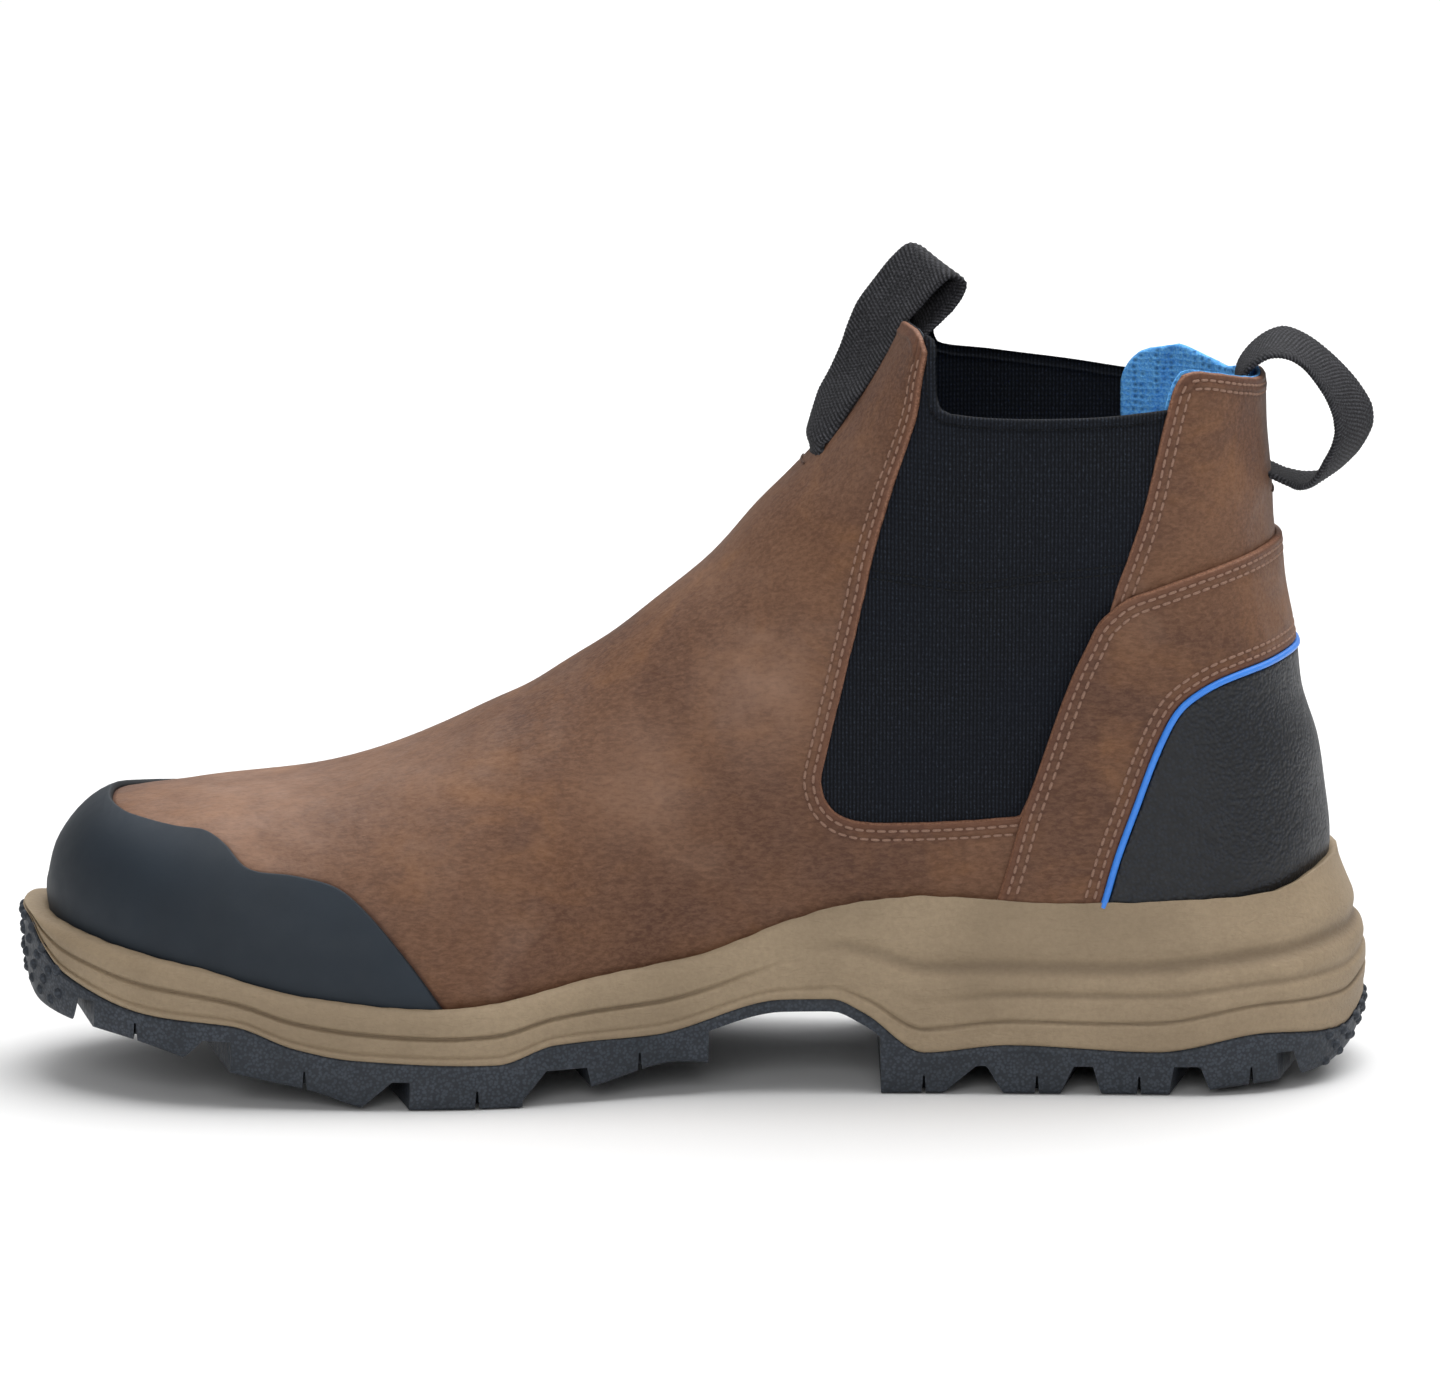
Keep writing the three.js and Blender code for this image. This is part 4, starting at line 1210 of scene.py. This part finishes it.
def leather_material():
    n = Nodes("oiled_leather", (81, 53, 38))
    n.paint(n.span(n.noise(36, 3, 0.55), 0.36, 0.66), 101, 70, 50)
    warm = n.noise(21, 4, 0.6, (0.8, 1, 1.1), 0.8)
    n.paint(n.span(warm, 0.5, 0.72, 0, 0.65), 122, 84, 54)
    dark = n.noise(26, 4, 0.6, warp=0.5)
    n.paint(n.span(dark, 0.54, 0.74, 0, 0.6), 76, 49, 38)
    pale = n.noise(30, 3, 0.6, warp=0.8)
    n.paint(n.span(pale, 0.6, 0.78, 0, 0.4), 128, 100, 82)
    worn = n.times(n.value("worn"), n.span(n.noise(8, 4, 0.6), 0.25, 0.7, 0.35, 1.0))
    n.paint(n.times(worn, 0.6), 157, 125, 105)
    nap = n.noise(0.95, 5, 0.7, (0.45, 1, 1.1), 0.3)
    n.paint(n.span(nap, 0.42, 0.7, 0.0, 0.28), 154, 116, 92)
    n.paint(n.span(nap, 0.3, 0.48, 0.2, 0.0), 60, 38, 28)
    pores = n.cells(1.3)
    n.paint(n.span(pores, 0.0, 0.14, 0.35, 0.0), 58, 38, 30)
    edge = n.value("edge")
    # Darker band along the panel edges: partly the leather's own darker edge, partly painted shade over
    # the rounded edge and the first stitch trough
    n.paint(n.span(edge, 1.4, 3.2, 0.45, 0.0), 94, 58, 43)
    # Painted shade in the stitch troughs and a painted shadow outside the toe cap's rim, both carried by
    # the seam value
    n.paint(n.times(n.value("seam"), 0.45), 70, 43, 33)
    raw = n.span(n.noise(0.5, 3, 0.7), 0.35, 0.65)
    cut = n.mix(raw, srgb(100, 65, 49), srgb(160, 117, 93))
    n.colour = n.mix(n.span(edge, 0.1, 0.5, 0.85, 0.0), n.colour, cut)
    n.bump(n.noise(0.9, 5, 0.7, (0.6, 1, 1)), 0.2, 0.6)
    n.bump(pores, 0.12, 0.4)
    n.bump(n.noise(5, 4, 0.55), 0.4, 0.6)
    return n.finish(n.span(n.noise(9, 3, 0.6), 0.3, 0.7, 0.52, 0.7), 0.28)


def cap_material():
    n = Nodes("toe_cap_sheet", (22, 30, 38))
    n.paint(n.span(n.noise(40, 2), 0.35, 0.65), 30, 40, 50)
    # Painted shade along the cap's rim, where it meets the leather
    n.paint(n.span(n.value("edge"), 0.0, 0.5, 0.8, 0.0), 9, 11, 15)
    n.bump(n.noise(0.6, 4, 0.6), 0.03, 0.5)
    n.bump(n.noise(14, 2, 0.4), 0.25, 0.3)
    return n.finish(n.span(n.noise(6, 4, 0.6), 0.3, 0.7, 0.58, 0.66), 0.34)


def counter_material():
    n = Nodes("counter_sheet", (18, 25, 36))
    pebble = n.cells(0.9, feature="SMOOTH_F1")
    pebble.node.inputs["Smoothness"].default_value = 0.5
    # Painted shade in the hollows between the pebbles
    n.paint(n.span(pebble, 0.1, 0.6), 8, 11, 17)
    n.bump(n.span(pebble, 0, 1, 1, 0), 0.3, 0.9)
    n.bump(n.noise(0.4, 3, 0.6), 0.05, 0.5)
    return n.finish(n.span(n.noise(3, 3, 0.6), 0.3, 0.7, 0.45, 0.58), 0.42)


def gore_material():
    n = Nodes("woven_elastic", (5, 6, 9))
    rows = n.span(n.waves(1.15, "Z", 1.6, 4), 0, 1, 0.5, 1.0)
    weave = n.times(n.waves(0.85, "X", 1.2, 3), rows)
    n.paint(weave, 26, 30, 38)
    fleck = n.span(n.noise(0.45, 2, 0.7), 0.48, 0.75, 0, 0.7)
    n.paint(n.times(fleck, weave), 62, 70, 84)
    n.paint(n.span(n.noise(24, 2), 0.3, 0.7, 0, 0.25), 14, 20, 32)
    n.bump(weave, 0.22, 0.9)
    return n.finish(0.8, 0.16)


def webbing_material():
    n = Nodes("ribbed_webbing", (20, 21, 24))
    fibre = n.noise(0.6, 4, 0.75)
    n.paint(n.span(fibre, 0.38, 0.66), 80, 80, 85)
    # Painted shade in the hollows between the ribs
    n.paint(n.span(n.value("rib"), 0.05, 0.85, 0.95, 0.0), 4, 4, 6)
    n.bump(fibre, 0.16, 0.9)
    return n.finish(0.75, 0.2)


def lining_material(name, deep, light):
    n = Nodes(name, deep)
    holes = n.cells(1.7, (1, 1, 1.2), 0.3)
    yarn = n.noise(0.5, 3, 0.7)
    n.paint(n.span(yarn, 0.3, 0.7), *light)
    shade = tuple(0.12 * v for v in srgb(*deep)[:3]) + (1,)
    n.colour = n.mix(n.span(holes, 0.1, 0.42, 0.6, 0.0), n.colour, shade)
    n.bump(holes, 0.5, 0.8)
    n.bump(yarn, 0.2, 0.6)
    return n.finish(0.85, 0.15)


def midsole_material():
    n = Nodes("moulded_foam", (136, 119, 96))
    n.paint(n.span(n.noise(30), 0.35, 0.65), 153, 135, 110)
    n.paint(n.span(n.noise(1.2, 4, 0.6), 0.35, 0.65, 0, 0.3), 120, 103, 82)
    # Painted shade in the side's grooves
    n.paint(n.times(n.value("groove_shade"), 0.7), 82, 66, 50)
    n.bump(n.noise(2.2, 5, 0.6, (0.55, 1, 1.4), 1.2), 0.45, 0.8)
    n.bump(n.noise(0.5, 3, 0.6), 0.08, 0.5)
    return n.finish(0.62, 0.35)


def outsole_material():
    n = Nodes("tread_rubber", (46, 52, 60))
    pebble = n.cells(0.75)
    n.paint(n.span(n.noise(12), 0.35, 0.65), 58, 64, 73)
    n.paint(n.span(n.noise(4, 4, 0.65), 0.5, 0.75, 0, 0.12), 84, 91, 100)
    n.paint(n.span(pebble, 0.3, 0.6, 0.0, 0.7), 26, 30, 36)
    n.bump(pebble, 0.16, 0.6)
    n.bump(n.noise(0.5, 3, 0.6), 0.06, 0.5)
    return n.finish(n.span(n.noise(2), 0.3, 0.7, 0.5, 0.68), 0.35)


def thread_material(name, dark, light):
    n = Nodes(name, dark)
    twist = n.noise(0.3, 3, 0.7)
    n.paint(twist, *light)
    n.bump(twist, 0.06, 0.8)
    return n.finish(0.7, 0.2)


def piping_material():
    n = Nodes("piping_cord", (36, 112, 208))
    n.paint(n.noise(2), 60, 138, 232)
    n.bump(n.noise(0.4), 0.04, 0.6)
    return n.finish(0.42)


def insole_material():
    n = Nodes("insole_cloth", (40, 44, 50))
    weave = n.times(n.waves(0.9, "X", 0.4, 3), n.waves(0.9, "Y", 0.4, 3))
    n.paint(weave, 74, 80, 88)
    n.bump(weave, 0.15, 0.8)
    return n.finish(0.9, sheen=0.2)


LEATHER = leather_material()
ELASTIC = gore_material()
WEBBING = webbing_material()

# Upper's leather
STITCH_ROWS = (1.8, 3.75)
TROUGHS = (1.2, 1.8, 2.4, 3.2, 3.75, 4.3)
TROUGH_WIDTH = 0.55
TROUGH_DEPTH = 0.2
SEAM_MIDDLE = 2.8
SEAM_SWELL = 0.25
EDGE_CUTS = (0.07, 0.22, 0.45, 0.8)
EDGE_ROUND = 0.8
EDGE_DROP = 0.95
CAP_CUTS = (-0.9, -0.5, -0.2, 0.3)
PUCKER = 0.2
LEATHER_DEPTH = 1.25


def rounded(distance, radius):
    """Height share of an edge that rounds over within a radius."""
    q = np.clip(distance / radius, 0, 1)
    return np.sqrt(np.maximum(1 - (1 - q) ** 2, 0))


def stitch_troughs(distance):
    return sum(bell(distance - row, TROUGH_WIDTH) for row in STITCH_ROWS)


def make_leather():
    """The leather outside the gores, with its stitched edges, as a closed sheet."""
    skin = last.copy().keep("collar").keep("window")
    skin.cuts("window", EDGE_CUTS + TROUGHS).cuts("collar", EDGE_CUTS + TROUGHS)
    skin.cuts("cap", CAP_CUTS)
    edge = np.minimum(skin["window"], skin["collar"])
    quarter = ease(skin["at"][:, 0] / LENGTH, *QUARTER_START)
    # seam: the stitch troughs, which sink the face and, in the colour, are darkened as painted shade
    seam = np.maximum(stitch_troughs(skin["window"]), stitch_troughs(skin["collar"]) * quarter)
    outer = skin["folds"] - EDGE_DROP * (1 - rounded(edge, EDGE_ROUND)) - TROUGH_DEPTH * seam
    outer += PUCKER * (bell(skin["surround"] + 1.0, 1.2) + bell(skin["cap"] + 1.2, 1.5))
    outer += SEAM_SWELL * bell(edge - SEAM_MIDDLE, 0.7) * (seam < 0.5)
    # Painted shadow on the leather just outside the toe cap's rim, added to the seam value
    painted_cap_shadow = 1.5 * bell(skin["cap"] + 0.2, 0.45)
    inner = np.minimum(skin["folds"], 0) - LEATHER_DEPTH
    _, top = add_shell(
        "upper_leather", skin, outer, inner, "leather", LEATHER, "upper",
        edge=edge, seam=np.maximum(seam, painted_cap_shadow), worn=worn_at(skin["at"]),
    )
    return skin, top


def seam_lines(skin, points, edge, other, clear):
    """Both rows of stitches along an edge, as far as another edge and where it is clear."""
    chains = []
    for row in STITCH_ROWS:
        chains += contour(skin, points, edge, row, np.minimum(clear, skin[other] - row))
    return chains


leather, leather_top = make_leather()
not_covered = np.minimum(leather["sole"] - 1.0, -leather["surround"] + 0.2)
at_quarter = leather["at"][:, 0] - 0.8 * LENGTH
seam_chains = seam_lines(leather, leather_top, "window", "collar", not_covered)
seam_chains += seam_lines(leather, leather_top, "collar", "window", at_quarter)


# Overlays
FOOT_SHARE = 0.3
OVERLAY_TROUGH = 0.22
FOLD_SHOW = 0.5


def make_overlay(name, skin, edge, slot, material, replaced, seam=0.0, radius=EDGE_ROUND):
    """A sheet on top of the leather, rounded at its edge and closed underneath."""
    thick = OVERLAY * (FOOT_SHARE + (1 - FOOT_SHARE) * rounded(edge, radius))
    outer = CLEARANCE + thick - OVERLAY_TROUGH * seam + FOLD_SHOW * np.maximum(skin["folds"], 0)
    # On leather the seam value also darkens the stitch troughs in the colour: painted shade
    values = {"edge": edge, "seam": edge * 0 + seam}
    return add_shell(name, skin, outer, CLEARANCE / 2, slot, material, replaced, **values)[1]


SUNK = -2.5
PIPING_HALF = 0.65
PIPING_RADIUS = 0.78
EDGE_LEVELS = (0.1, 0.3, 0.6, 1.1)

cap = last.copy().keep("cap").keep("sole", SUNK).cuts("cap", EDGE_LEVELS + (1.6, 2.1, 2.6))
make_overlay("toe_cap_shell", cap, cap["cap"], "toe_sheet", cap_material(), "toe_cap", radius=0.4)

strap = last.copy().keep("surround")
strap["below"] = -strap["counter"] - PIPING_HALF
strap.keep("below").keep("sole", SUNK)
for edge in ("surround", "below"):
    strap.cuts(edge, EDGE_LEVELS + TROUGHS[1:])
strap_top = make_overlay(
    "surround_strap", strap, np.minimum(strap["surround"], strap["below"]), "leather", LEATHER,
    "counter_surround", np.maximum(stitch_troughs(strap["surround"]), stitch_troughs(strap["below"])),
)
for edge, other in (("surround", "below"), ("below", "surround")):
    seam_chains += seam_lines(strap, strap_top, edge, other, strap["sole"] - 0.5)

counter = last.copy()
counter["inside"] = counter["counter"] - PIPING_HALF
counter.keep("inside").keep("sole", SUNK).cuts("inside", EDGE_LEVELS)
make_overlay("heel_counter_shell", counter, counter["inside"], "counter_sheet", counter_material(),
             "heel_counter")

# Rows of thread: distance between stitches, their length, radius and lift, in mm
STITCHES = {
    "seam": (2.5, 1.95, 0.38, 0.04),
    "hole": (2.5, 2.75, 0.58, -0.33),
    "gore": (1.9, 1.5, 0.26, 0.02),
    "binding": (1.0, 0.62, 0.34, 0.05),
    "tack": (1.7, 1.4, 0.28, 0.03),
}
THREAD = thread_material("waxed_thread", (94, 69, 56), (166, 134, 116))
HOLE_SHADE = thread_material("needle_shade", (34, 22, 18), (52, 34, 26))
add_piece("seam_stitches", thread_run(seam_chains, *STITCHES["seam"]), "thread", THREAD)
# Dark sunk capsules round each stitch: the needle holes and painted shade in the stitch troughs
add_piece("needle_holes_and_shade", thread_run(seam_chains, *STITCHES["hole"]), "thread", HOLE_SHADE)

piping_meshes = []
for path, ways in contour(last, last["at"], "counter", 0.0, last["sole"] + 1.5):
    even, way = resample(path, ways, 1.2)
    piping_meshes.append(tube(even + way * (CLEARANCE + OVERLAY - 0.05), way, PIPING_RADIUS))
add_piece("piping_cord", merged(piping_meshes), "piping", piping_material(), "piping")

# Gores
GORE_FACE = 1.3
GORE_THICK = 0.85
GORE_SAG = 0.3
GORE_WAVES = 0.35
BINDING_ROLL = 0.9
SEAM_TROUGH = 0.3
SEAM_RIDGE = 0.15
GORE_UNDERLAP = 3.0
GORE_SEAM_ROWS = (-0.9, 0.9)
BINDING = 2.3
BINDING_CUTS = (0.1, 0.3, 0.6, 0.9, 1.2, 1.5, 1.9, BINDING, 2.6, 3.0)
SEAM_CUTS = (-3.2, -2.4, -1.6, -0.8, 0, 0.8, 1.6, 2.4, 3.2)


def make_gore(side, name):
    """The elastic of one side. Gives the stitch lines of its seam and of its binding."""
    rim = f"gore_top{side}"
    skin = last.copy()
    skin["here"] = skin["side"] * side
    skin["within"] = GORE_UNDERLAP - skin["window"]
    skin.keep("within").keep("here", 4).keep(rim).keep("collar", -30)
    skin.cuts(rim, BINDING_CUTS).cuts("seam", SEAM_CUTS)
    top, shown = skin[rim], -skin["window"]
    roll = np.sqrt(np.clip(1 - (top - 1.0) ** 2, 0, 1))
    outer = -GORE_FACE - GORE_SAG * (1 - ease(top, 1.9, 2.6)) + BINDING_ROLL * roll
    outer -= 0.25 * bell(top - BINDING, 0.4)
    outer -= SEAM_TROUGH * sum(bell(skin["seam"] - row, 0.5) for row in GORE_SEAM_ROWS)
    outer += SEAM_RIDGE * bell(skin["seam"], 2.5)
    outer += GORE_WAVES * waviness(skin["at"], 30, 7.0 + side) * ease(shown, 0, 8)
    outer = np.where(shown < 0.4, np.minimum(outer, -GORE_FACE), outer)
    _, face = add_shell(name + "_cloth", skin, outer, outer - GORE_THICK, "elastic", ELASTIC, name)
    rows = [chain for row in GORE_SEAM_ROWS for chain in contour(skin, face, "seam", row, shown)]
    return rows, contour(skin, face, rim, BINDING, shown)


medial, lateral = make_gore(-1, "gore_medial"), make_gore(1, "gore_lateral")
gore_thread = [
    thread_run(medial[0] + lateral[0], *STITCHES["gore"]),
    thread_run(medial[1] + lateral[1], *STITCHES["binding"]),
]
add_piece("gore_stitches", merged(gore_thread), "thread",
          thread_material("black_thread", (5, 6, 8), (20, 23, 28)))

# Lining, behind the leather and outside the gores
FLAP_FRONT = 0.819
FLAP_MIDDLE = 0.845
FLAP_ROUND = 8
FLAP_RISE = 1.5
BLUE_START = 0.74
LINING_FACE = 1.3
LINING_TUCK = 1.6
LINING_THIN = 0.25
LINING_FULL = 1.0
LINING_WAVES = 0.35


def make_lining():
    skin = last.copy()
    x = skin["at"][:, 0]
    shown = -skin["window"]
    outside = ease(skin["side"], 0, 4)
    top = skin["collar"] + 0.2 + FLAP_RISE * bell(x - FLAP_MIDDLE * LENGTH, 8) * outside
    short = [np.maximum(FLAP_ROUND - gap, 0) for gap in (top, x - FLAP_FRONT * LENGTH)]
    flap = np.minimum.reduce([12 - shown, FLAP_ROUND - np.hypot(*short), skin["side"] - 2])
    skin["cover"] = np.maximum(np.minimum(top, -0.2 - shown), flap)
    skin.keep("cover").cuts("cover", (0.15, 0.4, 0.9)).cuts("window", (3, 4, 5))
    shown = -skin["window"]
    outer = -LINING_FACE - LINING_TUCK * ease(shown, -5, -3) + np.minimum(skin["folds"], 0)
    outer += LINING_WAVES * waviness(skin["at"], 7, 11.0) * ease(shown, -1, 2)
    inner = outer - LINING_THIN - (LINING_FULL - LINING_THIN) * rounded(skin["cover"], 0.9)
    blue = lining_material("blue_mesh", (58, 142, 236), (132, 206, 255))
    piece, _ = add_shell("lining_mesh", skin, outer, inner, "lining", blue)
    piece.data.materials.append(lining_material("grey_mesh", (42, 45, 50), (70, 74, 80)))
    corners = np.empty(len(piece.data.loops), np.int32)
    piece.data.loops.foreach_get("vertex_index", corners)
    ahead = np.tile(skin["at"][:, 0] - LENGTH * BLUE_START, 2)[corners.reshape(-1, 3)].mean(1) <= 0
    piece.data.polygons.foreach_set("material_index", ahead.astype(np.int32))


make_lining()


# Insole, a pad that follows the foot line. Its faces: height, inset and cup in mm
PAD_FACES = [(BEDDING, 3.1, 1.6), (0.6, 4.2, 0)]


def make_insole():
    _, foot = section_ends(np.linspace(0.35, HEEL_ROW - 0.02, 150))
    x, z = foot[np.argsort(foot[:, 0])].T[..., None]
    spread = np.linspace(-1, 1, 25)[None]
    layers = []
    for level, shrink, cup in PAD_FACES:
        half = {s: np.maximum(breadth(x, z + 3, s) * (1 - TUCK * 0.7) - shrink, 0.6) for s in (-1, 1)}
        y = lean(x) + spread * np.where(spread < 0, half[-1], half[1])
        places = np.broadcast_arrays(x, y, z + level + cup * np.abs(spread) ** 5)
        layers.append(np.stack(places, -1).reshape(-1, 3))
    mesh = closed_shell(grid_faces(numbered(len(x), spread.size)), *layers)
    piece = add_piece("insole_pad", mesh, "insole_cloth", insole_material(), "insole")


make_insole()
make_midsole()
make_outsole()

# Pull loops
FRONT_LOOP = table(["x", "level", "turn", "dip"], [
    [0.5843, 2.515, 8, 0], [0.5905, 2.58, 15, 0], [0.601, 2.67, 21, 0], [0.6135, 2.755, 24, 1],
    [0.6222, 2.84, 26, 2], [0.629, 2.92, 29, 4], [0.6365, 3.0, 30, 7], [0.648, 3.078, 30, 10],
    [0.6612, 3.162, 29, 13], [0.6725, 3.208, 28, 14], [0.6812, 3.183, 28, 14],
    [0.6785, 3.13, 28, 13], [0.6718, 3.07, 27, 11], [0.666, 3.0, 18, 5], [0.6635, 2.95, 8, 1],
])
BACK_LOOP = table(["x", "level", "turn", "dip"], [
    [0.936, 2.345, 0, 0], [0.9474, 2.329, -8, 0], [0.9615, 2.344, -16, 0],
    [0.9765, 2.43, -24, 0], [0.9855, 2.53, -27, 2], [0.985, 2.6, -26, 5],
    [0.977, 2.69, -19, 8], [0.962, 2.79, -10, 11], [0.9474, 2.858, -3, 12],
    [0.934, 2.888, 0, 11], [0.92, 2.875, 0, 6], [0.906, 2.815, 0, 2],
])
ON_FACE = CLEARANCE + WEBBING_THICK / 2
ON_LINING = WALL + ON_FACE + WEBBING_WIDTH**2 / (2 * SHAFT_WIDTH)
RIB_PITCH = 0.92
RIB_SLANT = 0.35
RIB_SWELL = 0.34
SWEEP_STEP = 0.2
EDGE_POWER = 14
CURL = 0.25


def front_x(z):
    line = catmull(TOP_POINTS, np.linspace(0, len(TOP_POINTS) - 1, 400))
    order = np.argsort(line[:, 1])
    return np.interp(z, line[order, 1], line[order, 0])


def loop_path(rows, outer, inner, surface, out_sign):
    """The middle of the webbing, from a slit in the leather round to the inside."""
    ends = [(level, out_sign * away) for level, away in outer]
    ends += [(level, -out_sign * ON_LINING) for level in inner]
    path = [(surface(height(level)) + away, height(level), 0, 0) for level, away in ends]
    path[len(outer):len(outer)] = zip(LENGTH * rows["x"], height(rows["level"]), rows["turn"], rows["dip"])
    return np.array(path, float)


def make_loop(name, path, wrap):
    """Ribbed webbing swept along its path, with rounded edges."""
    fine = np.linspace(0, len(path) - 1, 2400)
    line = catmull(path[:, [0, 0, 1]] * [1, 0, 1], fine)
    run = run_along(line)
    at = np.linspace(0, run[-1], int(run[-1] / SWEEP_STEP))
    middle = read_off(at, run, line)
    where = np.interp(at, run, fine)
    turn, dip = np.radians(read_off(where, np.arange(len(path)), path[:, 2:])).T
    near = np.stack([np.cos(dip) * np.sin(turn), -np.cos(dip) * np.cos(turn), -np.sin(dip)], 1)
    face = unit(np.cross(np.gradient(middle, axis=0), near))
    half = WEBBING_WIDTH / 2
    across = half * np.sin(np.linspace(-1, 1, 23) * math.pi / 2)
    thick = WEBBING_THICK / 2 * np.sqrt(np.maximum(1 - (np.abs(across) / half) ** EDGE_POWER, 0.02))
    u = np.concatenate([across, across[::-1]])
    v = np.concatenate([thick, -thick[::-1]])
    rib = 0.5 + 0.5 * np.cos(2 * math.pi * (at[:, None] + RIB_SLANT * u) / RIB_PITCH)
    swell = 1 + RIB_SWELL * (rib - 0.6)
    cup = (wrap * (1 - ease(at, 4, 26)) - CURL)[:, None] * (u / half) ** 2
    points = middle[:, None] + near[:, None] * u[:, None] + face[:, None] * (v * swell + cup)[..., None]
    index = numbered(*rib.shape)
    caps = [across_ring(index[0]), across_ring(index[-1])[:, ::-1]]
    mesh = points.reshape(-1, 3), np.concatenate([grid_faces(around(index)), *caps])
    add_piece(name + "_webbing", mesh, "webbing", WEBBING, name, {"rib": rib.ravel()})


front_path = loop_path(FRONT_LOOP, [(2.41, -3.2), (2.475, 0.4)], [2.88, 2.74], front_x, -1)
back_path = loop_path(BACK_LOOP, [(2.4, -4), (2.372, 0)], [2.76, 2.62], back_x, 1)
make_loop("front_loop", front_path, 2.4)
make_loop("back_loop", back_path, 0)


TACK_HALF = 9


def bar_tack(level, sign):
    """A short row of thread across the front or the back, by the loop's slit."""
    ahead = sign * (last["at"][:, 0] - 0.75 * LENGTH)
    keep = np.minimum(TACK_HALF - np.abs(last["side"]), ahead)
    last["height"] = last["at"][:, 2]
    return contour(last, last.lifted(0.15), "height", float(height(level)), keep)


tacks = bar_tack(2.42, -1) + bar_tack(2.31, 1)
add_piece("bar_tacks", thread_run(tacks, *STITCHES["tack"]), "thread",
          thread_material("tack_thread", (62, 46, 40), (104, 82, 72)))

# Stage
FLOOR_ALBEDO = 0.8
FLOOR_HALF = 6
LIGHTS = [
    ("overhead", (0.7, 0.5, 2.2), (0.3, 0.3, 0), (2.6, 3.2), 88),
    ("behind", (0.2, 2.9, 2.3), (0.2, 2.6, 0), (3.0, 2.0), 26),
    ("key", (-0.2, -2.1, 1.0), (0, 0, 0.08), (1.4, 0.9), 13.5),
]
AIM = Vector((0.00499, 0.00138, 0.0833))
ELEVATION = math.radians(10.5)
DISTANCE = 2.5
VIEW_WIDTH = 0.329
SENSOR = 36


def turn_to(thing, direction):
    thing.rotation_euler = direction.to_track_quat("-Z", "Y").to_euler()


def add_floor():
    pale = Nodes("pale_floor", (255, 255, 255))
    pale.colour = (FLOOR_ALBEDO, FLOOR_ALBEDO, FLOOR_ALBEDO, 1)
    mesh = bpy.data.meshes.new("floor")
    corners = [(x * FLOOR_HALF, y * FLOOR_HALF, 0) for x, y in ((-1, -1), (1, -1), (1, 1), (-1, 1))]
    mesh.from_pydata(corners, [], [(0, 1, 2, 3)])
    mesh.materials.append(pale.finish(0.8))
    floor = new_object("floor", mesh)
    floor.location.z = -0.0003
    floor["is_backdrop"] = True


def add_light(name, place, target, size, watts):
    data = bpy.data.lights.new(name, "AREA")
    data.shape = "RECTANGLE"
    data.size, data.size_y = size
    data.energy = watts
    lamp = new_object(name, data)
    lamp.location = place
    turn_to(lamp, Vector(target) - Vector(place))


def add_world():
    world = bpy.data.worlds.new("studio")
    world.use_nodes = True
    back = world.node_tree.nodes["Background"]
    back.inputs["Color"].default_value = (1, 1, 1, 1)
    back.inputs["Strength"].default_value = 0.38
    bpy.context.scene.world = world


def add_camera():
    data = bpy.data.cameras.new("camera")
    data.sensor_width = SENSOR
    data.lens = SENSOR * DISTANCE / VIEW_WIDTH
    data.clip_start, data.clip_end = 0.05, 50
    camera = new_object("camera", data)
    back = Vector((0, -math.cos(ELEVATION), math.sin(ELEVATION)))
    camera.location = AIM + back * DISTANCE
    turn_to(camera, -back)
    bpy.context.scene.camera = camera


add_floor()
add_world()
add_camera()
for light in LIGHTS:
    add_light(*light)
bpy.context.scene.view_settings.view_transform = "Standard"

sizes = {"cad": cad_box, "visual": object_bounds()}
{name: [list(corner) for corner in box] for name, box in sizes.items()}
